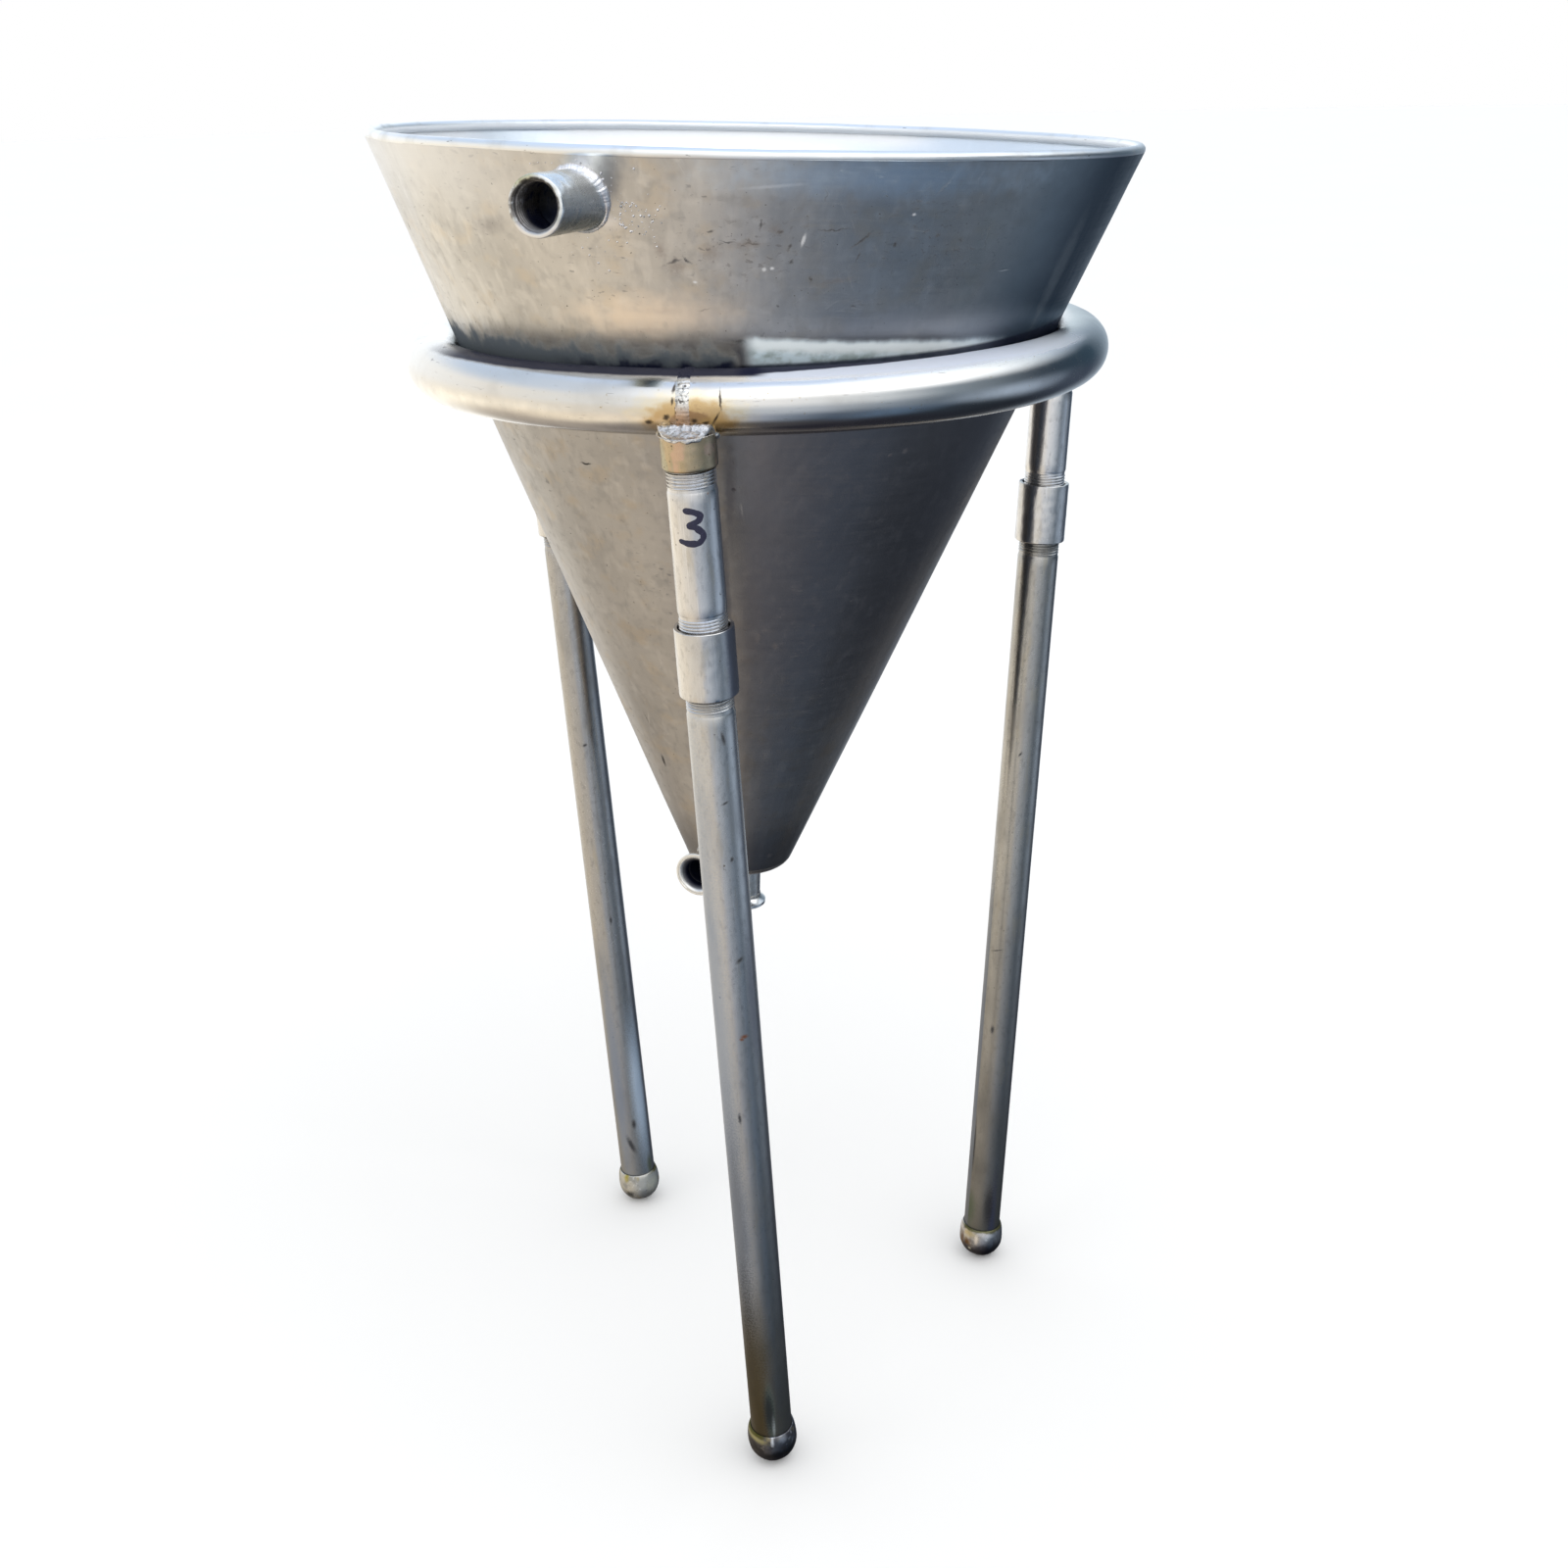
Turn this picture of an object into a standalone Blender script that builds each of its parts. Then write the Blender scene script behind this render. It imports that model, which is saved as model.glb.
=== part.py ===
"""Open conical hopper tank of stainless sheet, resting in a three-legged pipe stand.

Sizes are in metres and +Z is up. The origin is on the floor, under the middle of the
whole part. The front leg and both side connections are on the -Y side.
"""
import math

import bmesh
import bpy
from mathutils import Vector

# Driving sizes

FIT_GAP = 0.0003                  # between pieces that touch
SEAT_GAP = 0.00055                # between the faceted ring and the wall that rests in it
OVERRUN = 0.02                    # how far a cutter runs past what it cuts
CENTRE = Vector((-0.0022, 0.0108, 0))   # the ring's centre, seen from above

RING_HEIGHT = 0.883               # middle of the ring's tube above the floor
RING_RADIUS = 0.2435              # ring's centre to the middle of its tube
RING_TUBE = 0.0212                # 42.4 mm tube
RING_WALL = 0.0026

CONE_ANGLE = math.radians(22.5)   # wall against the vessel's own axis
VESSEL_LEAN = math.radians(2.5)   # the vessel sits a little crooked in the ring
SHEET = 0.0025
RIM_RISE = 0.1542                 # rim above the ring, along the vessel's axis
CONE_DROP = 0.424                 # cone's lower end below the ring
END_BAND = 0.069                  # height of the narrow band that carries the side outlet
BEAD = 0.0039                     # radius of the rolled edge
KNUCKLE = 0.012                   # bend between the cone and its closed bottom
CROWN = 0.002                     # how far the bottom bulges

PIPE = 0.01685                    # 33.7 mm pipe of the legs
PIPE_BORE = 0.0136
THREAD = 0.0163                   # crest of the pipe thread
THREAD_END = 0.0005               # length of the step from pipe to thread
THREAD_BORE = 0.0166
LEG_TOP_RADIUS = 0.2555           # leg's axis at ring height, from the ring's centre
LEG_FOOT_RADIUS = 0.2056          # leg's axis at the floor

# The sheets of the wall, each from one direction to the next, seen from above
FIRST_SEAM = -145.0
SHEET_SPAN = 60.0
SHEETS = ["front_left", "front_right", "right", "back_right", "back_left", "left"]

# Each leg: direction at its top and foot in degrees, height of its coupling's middle
LEGS = {
    "front": (-101.0, -92.0, 0.7095),
    "right": (17.0, 14.5, 0.728),
    "back": (137.0, 131.0, 0.719),
}

SOCKET = 0.0184                   # short sockets under the ring and on the vessel
SOCKET_BOTTOM = 0.8437
SOCKET_TOP = 0.870
SOCKET_DEPTH = 0.0165             # how far the nipple goes in
TOP_THREAD = 0.0137               # bare thread below the socket
COUPLING = 0.0205
COUPLING_LENGTH = 0.045
LOW_THREAD = 0.0125               # bare thread on each side of the coupling

CAP = 0.0202                      # round pipe cap, at its widest
CAP_MIDDLE = 0.0192               # widest ring of the cap above the floor
CAP_LIP = 0.0178                  # radius where the cap meets the pipe
CAP_HEIGHT = 0.0375
CAP_FLOOR = 0.012                 # thickness of the cap under the pipe

INLET_DIRECTION = -114.0
INLET_HEIGHT = 1.0094
INLET_REACH = 0.324               # mouth from the vessel's axis
INLET_BORE = 0.0139
INLET_DEPTH = 0.09                # from the mouth to inside the vessel

OUTLET = 0.01345                  # 26.9 mm pipe of both outlets
OUTLET_BORE = 0.0108
SIDE_DIRECTION = -115.0
SIDE_HEIGHT = 0.4724
SIDE_REACH = 0.085
SIDE_DEPTH = 0.065
BOTTOM_LENGTH = 0.0395            # vessel's bottom to the end of the lower ferrule
BOTTOM_SHIFT = 0.0045             # lower outlet beside the vessel's axis
FERRULE_LENGTH = 0.0082
FERRULE_LIP = 0.0182
FERRULE_MOUTH = 0.0150
LIP_THICKNESS = 0.003
MOUTH_STEP = 0.001                # the mouth's cone ends this far below the lip

VESSEL_STEPS = 72
SHEET_STEPS = 12
BOTTOM_STEPS = 48
RING_STEPS = 90
FITTING_STEPS = 32
PIPE_STEPS = 24
TUBE_SIDES = 20
BORE_SIDES = 12
BEAD_SIDES = 12
KNUCKLE_STEPS = 5
ROUND_STEPS = 4
ARC_STEP = math.radians(4)
SHARP_EDGE = math.radians(35)

STAINLESS = (0.55, 0.53, 0.50)
DULL_STAINLESS = (0.42, 0.40, 0.38)
POLISHED = (0.66, 0.65, 0.63)
ZINC = (0.50, 0.51, 0.51)
TINTED = (0.52, 0.43, 0.30)
WORN = (0.36, 0.33, 0.29)
CUTTER_RED = (1, 0, 0)

# Worked out from them

SLOPE = math.tan(CONE_ANGLE)
CONE_AT_RING = RING_RADIUS - (RING_TUBE + SEAT_GAP) / math.cos(CONE_ANGLE)
VESSEL_SHIFT = -RING_RADIUS * SLOPE * math.sin(VESSEL_LEAN)
SHEET_ACROSS = SHEET / math.cos(CONE_ANGLE)
BEAD_RISE = RIM_RISE - BEAD


def clear_scene():
    for old in list(bpy.data.objects):
        bpy.data.objects.remove(old, do_unlink=True)


def cone_radius(rise):
    """Outer radius of the vessel's wall at a height along its own axis."""
    return CONE_AT_RING + rise * SLOPE


def direction(degrees):
    turn = math.radians(degrees)
    return Vector((math.cos(turn), math.sin(turn), 0))


def arc(centre, radius, start, end, steps):
    """Points of an arc in the plane of radius and height."""
    turns = [start + (end - start) * i / steps for i in range(steps + 1)]
    return [(centre[0] + radius * math.cos(t), centre[1] + radius * math.sin(t)) for t in turns]


def circle(centre, radius, sides):
    return arc(centre, radius, 0, math.tau, sides)[:-1]


def frame(name, place, along=None, parent=None):
    """An empty whose Z axis points along the given direction."""
    empty = bpy.data.objects.new(name, None)
    bpy.context.collection.objects.link(empty)
    empty.parent = parent
    empty.location = place
    empty.rotation_mode = "QUATERNION"
    if along is not None:
        empty.rotation_quaternion = Vector(along).to_track_quat("Z", "Y")
    return empty


def finished(bm, name, parent, colour, roughness):
    """Turn a mesh in the making into an object with its own material."""
    bmesh.ops.recalc_face_normals(bm, faces=bm.faces)
    mesh = bpy.data.meshes.new(name)
    bm.to_mesh(mesh)
    bm.free()
    mesh.shade_smooth()
    mesh.set_sharp_from_angle(angle=SHARP_EDGE)
    thing = bpy.data.objects.new(name, mesh)
    bpy.context.collection.objects.link(thing)
    thing.parent = parent
    material = bpy.data.materials.new(name)
    material.use_nodes = True
    shader = material.node_tree.nodes["Principled BSDF"]
    shader.inputs["Base Color"].default_value = (*colour, 1)
    shader.inputs["Roughness"].default_value = roughness
    shader.inputs["Metallic"].default_value = 1
    mesh.materials.append(material)
    return thing


def turned(name, parent, outline, steps, colour, roughness):
    """Turn an outline of (radius, height) points about Z.

    An outline that ends on the axis makes a solid. Any other one is closed and makes a ring.
    """
    bm = bmesh.new()
    points = [bm.verts.new((radius, 0, height)) for radius, height in outline]
    pairs = list(zip(points, points[1:]))
    if outline[-1][0] > 0:
        pairs.append((points[-1], points[0]))
    edges = [bm.edges.new(pair) for pair in pairs]
    bmesh.ops.spin(bm, geom=points + edges, cent=(0, 0, 0), axis=(0, 0, 1),
                   angle=math.tau, steps=steps)
    bmesh.ops.remove_doubles(bm, verts=bm.verts, dist=1e-6)
    return finished(bm, name, parent, colour, roughness)


def tube(name, parent, outer, bore, low, high, steps, colour, roughness):
    outline = [(bore, low), (outer, low), (outer, high), (bore, high)]
    return turned(name, parent, outline, steps, colour, roughness)


def as_cutter(shape):
    shape.hide_render = True
    shape.display_type = "WIRE"
    return shape


def cutter(name, parent, outline, steps=FITTING_STEPS):
    return as_cutter(turned(name, parent, outline, steps, CUTTER_RED, 0.5))


def drill(name, parent, radius, deep, high):
    """A cutter for a round hole along the parent's Z axis."""
    return cutter(name, parent, [(0, high), (radius, high), (radius, -deep), (0, -deep)])


def cut(piece, shape):
    """Take a cutter's shape out of a piece."""
    modifier = piece.modifiers.new(shape.name, "BOOLEAN")
    modifier.operation = "DIFFERENCE"
    modifier.solver = "EXACT"
    modifier.object = shape


def ring_arc(name, parent, start, end, bore):
    """A bent length of the ring's tube between two legs."""
    trim = FIT_GAP / 2 / (RING_RADIUS - RING_TUBE)
    sweep = math.radians(end - start) - 2 * trim
    bm = bmesh.new()
    outline = circle((RING_RADIUS, 0), RING_TUBE, TUBE_SIDES)
    section = [bm.verts.new((radius, 0, height)) for radius, height in outline]
    loop = [bm.edges.new(pair) for pair in zip(section, section[1:] + section[:1])]
    bmesh.ops.spin(bm, geom=section + loop, cent=(0, 0, 0), axis=(0, 0, 1),
                   angle=sweep, steps=round(sweep / ARC_STEP))
    bmesh.ops.holes_fill(bm, edges=bm.edges)
    piece = finished(bm, name, parent, POLISHED, 0.22)
    piece.rotation_euler.z = math.radians(start) + trim
    cut(piece, bore)


def make_ring():
    """The ring that the vessel hangs in: three arcs, butted over the legs."""
    ring_frame = frame("ring_frame", CENTRE + Vector((0, 0, RING_HEIGHT)))
    hollow = circle((RING_RADIUS, 0), RING_TUBE - RING_WALL, BORE_SIDES)
    bore = cutter("ring_bore", ring_frame, hollow, RING_STEPS)
    names = list(LEGS)
    for here, there in zip(names, names[1:] + names[:1]):
        start, end = LEGS[here][0], LEGS[there][0]
        if end < start:
            end += 360
        ring_arc(f"ring_arc_{here}_{there}", ring_frame, start, end, bore)
    around = circle((RING_RADIUS, 0), RING_TUBE + FIT_GAP, TUBE_SIDES)
    return cutter("ring_clearance", ring_frame, around, RING_STEPS)


def wall_section(low, high):
    """The sheet cut through along the vessel's axis, between two heights."""
    return [(cone_radius(low), low), (cone_radius(high), high),
            (cone_radius(high) - SHEET_ACROSS, high), (cone_radius(low) - SHEET_ACROSS, low)]


def wall_sheet(name, vessel, low, high, number, colour, roughness):
    """One of the rolled sheets side by side, with half a seam left open at each edge."""
    start = math.radians(FIRST_SEAM + SHEET_SPAN * number)
    sweep = math.radians(SHEET_SPAN)
    bm = bmesh.new()
    loops = []
    for i in range(SHEET_STEPS + 1):
        loop = []
        for radius, height in wall_section(low, high):
            seam = math.asin(FIT_GAP / 2 / radius)
            turn = start + seam + (sweep - 2 * seam) * i / SHEET_STEPS
            loop.append(bm.verts.new((radius * math.cos(turn), radius * math.sin(turn), height)))
        loops.append(loop)
    for one, other in zip(loops, loops[1:]):
        for i in range(len(one)):
            bm.faces.new((one[i - 1], other[i - 1], other[i], one[i]))
    bm.faces.new(loops[0])
    bm.faces.new(loops[-1])
    return finished(bm, name, vessel, colour, roughness)


def pressed_face(bend, radius):
    """One face of the pressed bottom, from its edge over the bend to the axis."""
    knuckle = arc(bend, radius, -CONE_ANGLE, -math.pi / 2, KNUCKLE_STEPS)
    spread, level = knuckle[-1]
    shares = [1 - i / ROUND_STEPS for i in range(1, ROUND_STEPS + 1)]
    return knuckle + [(spread * s, level - CROWN * (1 - s * s)) for s in shares]


def make_vessel():
    """Two cones of rolled sheets, a narrow end band, a pressed bottom and a rolled edge."""
    vessel = frame("vessel_frame", CENTRE + Vector((VESSEL_SHIFT, 0, RING_HEIGHT)))
    vessel.rotation_mode = "XYZ"
    vessel.rotation_euler.y = VESSEL_LEAN

    bead_radius = cone_radius(BEAD_RISE) - BEAD / math.cos(CONE_ANGLE)
    turned("rim_bead", vessel, circle((bead_radius, BEAD_RISE), BEAD, BEAD_SIDES),
           VESSEL_STEPS, POLISHED, 0.25)
    band_top = END_BAND - CONE_DROP
    for number, side in enumerate(SHEETS):
        wall_sheet(f"upper_shell_{side}", vessel, FIT_GAP / 2, BEAD_RISE - BEAD - FIT_GAP, number,
                   STAINLESS, 0.3)
        wall_sheet(f"lower_cone_{side}", vessel, band_top + FIT_GAP / 2, -FIT_GAP / 2, number,
                   DULL_STAINLESS, 0.42)
    band = turned("lower_cone_end", vessel, wall_section(-CONE_DROP, band_top - FIT_GAP / 2),
                  VESSEL_STEPS, DULL_STAINLESS, 0.42)

    edge = -CONE_DROP - FIT_GAP
    bend = (cone_radius(edge) - KNUCKLE * math.cos(CONE_ANGLE), edge + KNUCKLE * math.sin(CONE_ANGLE))
    outside = pressed_face(bend, KNUCKLE)
    inside = pressed_face(bend, KNUCKLE - SHEET)
    inside[0] = (cone_radius(edge) - SHEET_ACROSS, edge)
    bottom = turned("dished_bottom", vessel, inside[::-1] + outside, BOTTOM_STEPS, DULL_STAINLESS, 0.42)

    top, foot = RIM_RISE + OVERRUN, -CONE_DROP - OVERRUN
    around = FIT_GAP / math.cos(CONE_ANGLE)
    solid = cutter("vessel_clearance", vessel, [
        (0, top), (cone_radius(top) + around, top), (cone_radius(foot) + around, foot), (0, foot)],
        VESSEL_STEPS)
    return vessel, band, bottom, solid, outside[-1][1]


def side_frame(name, degrees, height, reach):
    """A frame at the mouth of a connection that runs level out of the vessel."""
    rise = (height - RING_HEIGHT) / math.cos(VESSEL_LEAN)
    axis = CENTRE + Vector((VESSEL_SHIFT + rise * math.sin(VESSEL_LEAN), 0, height))
    return frame(name, axis + reach * direction(degrees), direction(degrees))


def make_inlet(solid):
    """The short threaded socket welded high on the wall."""
    mouth = side_frame("inlet_frame", INLET_DIRECTION, INLET_HEIGHT, INLET_REACH)
    socket = tube("inlet_socket", mouth, SOCKET, INLET_BORE, -INLET_DEPTH, 0, FITTING_STEPS, STAINLESS, 0.35)
    cut(socket, solid)
    sheet = bpy.data.objects["upper_shell_front_left"]
    cut(sheet, drill("inlet_hole", mouth, INLET_BORE, INLET_DEPTH, OVERRUN))


def ferrule(name, parent):
    """The flared end of an outlet pipe, with its mouth at the parent's origin."""
    outline = [(OUTLET_BORE, -FERRULE_LENGTH), (OUTLET, -FERRULE_LENGTH),
               (FERRULE_LIP, -LIP_THICKNESS), (FERRULE_LIP, 0),
               (FERRULE_MOUTH, 0), (OUTLET_BORE, -LIP_THICKNESS - MOUTH_STEP)]
    turned(name, parent, outline, FITTING_STEPS, POLISHED, 0.3)


def make_outlets(vessel, band, bottom, solid, bottom_rise):
    """The side outlet just above the bottom, and the drain under it."""
    pipe_end = -FERRULE_LENGTH - FIT_GAP
    mouth = side_frame("side_outlet_frame", SIDE_DIRECTION, SIDE_HEIGHT, SIDE_REACH)
    ferrule("side_outlet_ferrule", mouth)
    pipe = tube("side_outlet_pipe", mouth, OUTLET, OUTLET_BORE, -SIDE_DEPTH, pipe_end,
                FITTING_STEPS, STAINLESS, 0.35)
    cut(pipe, solid)
    cut(band, drill("side_outlet_hole", mouth, OUTLET_BORE, SIDE_DEPTH, 0))

    drain = frame("bottom_outlet_frame", (BOTTOM_SHIFT, 0, bottom_rise - BOTTOM_LENGTH), (0, 0, -1), vessel)
    ferrule("bottom_outlet_ferrule", drain)
    tube("bottom_outlet_pipe", drain, OUTLET, OUTLET_BORE, -BOTTOM_LENGTH + FIT_GAP, pipe_end,
         FITTING_STEPS, STAINLESS, 0.35)
    cut(bottom, drill("bottom_outlet_hole", drain, OUTLET_BORE, BOTTOM_LENGTH + OVERRUN, 0))


def quarter_turns(steps):
    return [math.pi / 2 * i / steps for i in range(steps + 1)]


def foot_cap(name, leg, floor):
    """A round cap over the pipe's end, worn flat where it stands."""
    crown = [(CAP_LIP + (CAP - CAP_LIP) * math.cos(t), CAP_MIDDLE + (CAP_HEIGHT - CAP_MIDDLE) * math.sin(t))
             for t in quarter_turns(ROUND_STEPS)]
    ball = [(CAP * math.cos(t), CAP_MIDDLE - CAP * math.sin(t)) for t in quarter_turns(2 * ROUND_STEPS)]
    seat = PIPE + FIT_GAP
    outline = [(0, CAP_FLOOR), (seat, CAP_FLOOR), (seat, CAP_HEIGHT)] + crown[::-1] + ball[1:-1]
    cap = turned(name, leg, outline + [(0, CAP_MIDDLE - CAP)], PIPE_STEPS, WORN, 0.6)
    cut(cap, floor)


def make_leg(side, clear_ring, floor):
    """One leg, from the foot up: cap, long pipe, coupling, nipple and welded socket."""
    top_turn, foot_turn, coupling_height = LEGS[side]
    top = CENTRE + LEG_TOP_RADIUS * direction(top_turn) + Vector((0, 0, RING_HEIGHT))
    foot = CENTRE + LEG_FOOT_RADIUS * direction(foot_turn)
    leg = frame(f"{side}_leg_frame", foot, top - foot)
    stretch = (top - foot).length / RING_HEIGHT    # length along the leg for each metre of height

    foot_cap(f"{side}_foot_cap", leg, floor)

    middle = coupling_height * stretch
    half = COUPLING_LENGTH / 2
    tube(f"{side}_coupling", leg, COUPLING, THREAD_BORE, middle - half, middle + half,
         PIPE_STEPS, ZINC, 0.35)

    start, low, low_end = CAP_FLOOR + FIT_GAP, middle - half - LOW_THREAD, middle - FIT_GAP / 2
    turned(f"{side}_leg_pipe", leg, [
        (PIPE_BORE, start), (PIPE, start), (PIPE, low),
        (THREAD, low + THREAD_END), (THREAD, low_end), (PIPE_BORE, low_end)],
        PIPE_STEPS, ZINC, 0.5)

    bottom = SOCKET_BOTTOM * stretch
    end = bottom + SOCKET_DEPTH
    begin, high, bare = middle + FIT_GAP / 2, middle + half + LOW_THREAD, bottom - TOP_THREAD
    turned(f"{side}_nipple", leg, [
        (PIPE_BORE, begin), (THREAD, begin), (THREAD, high - THREAD_END), (PIPE, high),
        (PIPE, bare), (THREAD, bare + THREAD_END), (THREAD, end - FIT_GAP), (PIPE_BORE, end - FIT_GAP)],
        PIPE_STEPS, ZINC, 0.4)

    level = SOCKET_TOP * stretch
    socket = turned(f"{side}_leg_socket", leg, [
        (0, level), (SOCKET, level), (SOCKET, bottom), (THREAD_BORE, bottom), (THREAD_BORE, end), (0, end)],
        PIPE_STEPS, TINTED, 0.45)
    cut(socket, clear_ring)


def make_floor_cutter():
    """What lies below the floor, to wear the round caps flat."""
    bm = bmesh.new()
    bmesh.ops.create_cube(bm, size=1)
    floor = finished(bm, "below_floor", None, CUTTER_RED, 0.5)
    floor.location.z = -0.5
    return as_cutter(floor)


clear_scene()
clear_ring = make_ring()
vessel, band, bottom, solid, bottom_rise = make_vessel()
make_inlet(solid)
make_outlets(vessel, band, bottom, solid, bottom_rise)
floor = make_floor_cutter()
for side in LEGS:
    make_leg(side, clear_ring, floor)
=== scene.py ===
import math

import bmesh
import bpy
import numpy as np
from mathutils import Matrix, Vector, noise


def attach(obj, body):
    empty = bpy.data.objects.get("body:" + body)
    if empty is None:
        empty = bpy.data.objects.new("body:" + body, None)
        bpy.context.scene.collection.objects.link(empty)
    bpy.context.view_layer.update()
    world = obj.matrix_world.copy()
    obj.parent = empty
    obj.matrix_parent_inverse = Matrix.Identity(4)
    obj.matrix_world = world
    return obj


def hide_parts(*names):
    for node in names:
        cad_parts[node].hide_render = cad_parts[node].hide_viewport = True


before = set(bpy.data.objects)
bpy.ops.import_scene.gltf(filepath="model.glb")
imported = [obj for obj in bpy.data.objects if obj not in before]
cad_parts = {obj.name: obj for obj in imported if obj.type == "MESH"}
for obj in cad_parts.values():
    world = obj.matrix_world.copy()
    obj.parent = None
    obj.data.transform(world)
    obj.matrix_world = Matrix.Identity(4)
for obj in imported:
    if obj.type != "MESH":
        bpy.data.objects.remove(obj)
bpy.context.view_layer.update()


# The wall above the ring. It is stainless sheet, 2.5 mm thick, rolled to an open cone and
# left in its satin mill finish, with shallow dents, wipe marks and scratches from use. The
# whole vessel hangs a little crooked in the ring, so all its pieces share one leaning place.

CONE_ANGLE = math.radians(22.5)
WALL_SLOPE = math.tan(CONE_ANGLE)
WALL_AT_RING = 0.21996
SHEET = 0.0025
SHEET_ACROSS = SHEET / math.cos(CONE_ANGLE)
UPPER_EDGE = 0.1487
UPPER_DENTS = [(-139, 0.112, 0.020, 0.0012), (-155, 0.112, 0.015, 0.0010), (-66, 0.050, 0.030, 0.0006),
               (35, 0.090, 0.024, 0.0012), (118, 0.060, 0.028, 0.0009), (172, 0.105, 0.018, 0.0010)]
RING_HEIGHT = 0.883
LEAN = math.radians(2.5)
vessel = Matrix.Translation((-0.0066, 0.0108, RING_HEIGHT)) @ Matrix.Rotation(LEAN, 4, "Y")


def skin(points, closed=True):
    """A mesh over rows of points that each run once round. Closed joins the last row to the first."""
    rows, columns = points.shape[:2]
    index = np.arange(rows * columns).reshape(rows, columns)
    low, high = (index, np.roll(index, -1, 0)) if closed else (index[:-1], index[1:])
    quads = np.stack([low, np.roll(low, -1, 1), np.roll(high, -1, 1), high], -1).reshape(-1, 4)
    mesh = bpy.data.meshes.new("skin")
    mesh.from_pydata(points.reshape(-1, 3).tolist(), [], quads.tolist())
    return mesh


def lathe(outline, steps):
    """Turn an outline of (radius, height) points about Z, out of a single bar of metal."""
    turns = np.linspace(0, math.tau, steps, endpoint=False)
    radii, heights = np.array(outline).T[:, :, None]
    return skin(np.stack([radii * np.cos(turns), radii * np.sin(turns), heights + 0 * turns], -1))


def wall_radius(rise):
    return WALL_AT_RING + WALL_SLOPE * rise


def rolled_wall(low, high, around, rows, out_of_true):
    """Both faces of a rolled cone, from one height on the vessel's axis to another."""
    turns = np.linspace(0, math.tau, around, endpoint=False)
    rises = np.linspace(low, high, rows)
    strays = np.array([[out_of_true(turn, rise) for turn in turns] for rise in rises])
    outer = wall_radius(rises)[:, None] + strays
    radii = np.vstack([outer, outer[::-1] - SHEET_ACROSS])
    heights = np.concatenate([rises, rises[::-1]])[:, None] + 0 * radii
    return skin(np.stack([radii * np.cos(turns), radii * np.sin(turns), heights], -1))


def waves_and_dents(turn, rise, dents, low, high):
    """How far the sheet strays at one place, in metres. It is true where it is held."""
    across = Vector((math.cos(turn), math.sin(turn), 0))
    stray = 0.0005 * noise.noise(across * 2.1 + Vector((0, 0, rise * 9)))
    stray += 0.00022 * noise.noise(across * 8.0 + Vector((0, 0, rise * 6 + 5)))
    stray += 0.00007 * noise.noise(across * 21.0 + Vector((0, 0, rise * 40)))
    for direction, height, width, depth in dents:
        apart = (turn - math.radians(direction) + math.pi) % math.tau - math.pi
        away = ((apart * wall_radius(rise)) ** 2 + (rise - height) ** 2) / width ** 2
        stray -= depth * math.exp(-away)
    held = min(1, max(0, rise - low) / 0.03, max(0, high - rise) / 0.02)
    return stray * held


def holed(mesh, place, hole, radius, depth):
    """Bore a round hole through a mesh, along the Z axis of another place."""
    drill = lathe([(1e-6, -depth), (radius, -depth), (radius, 0.02), (1e-6, 0.02)], 64)
    sheet, bit = bpy.data.objects.new("sheet", mesh), bpy.data.objects.new("bit", drill)
    for thing, where in ((sheet, place), (bit, hole)):
        bpy.context.collection.objects.link(thing)
        thing.matrix_world = where
    cut = sheet.modifiers.new("hole", "BOOLEAN")
    cut.object = bit
    cut.solver = "EXACT"
    done = bpy.data.meshes.new_from_object(sheet.evaluated_get(bpy.context.evaluated_depsgraph_get()))
    for thing in (sheet, bit):
        bpy.data.objects.remove(thing)
    return done


def piece(name, mesh, finish, slot, *solids, place=Matrix(), sharp=32):
    """Put a finished mesh in its place on the tank, where it stands for the given solids."""
    mesh.name = name
    mesh.shade_smooth()
    mesh.set_sharp_from_angle(angle=math.radians(sharp))
    mesh.materials.clear()
    mesh.materials.append(finish)
    thing = bpy.data.objects.new(name, mesh)
    bpy.context.collection.objects.link(thing)
    thing.matrix_world = place
    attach(thing, "root")
    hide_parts(*solids)
    return thing


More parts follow.
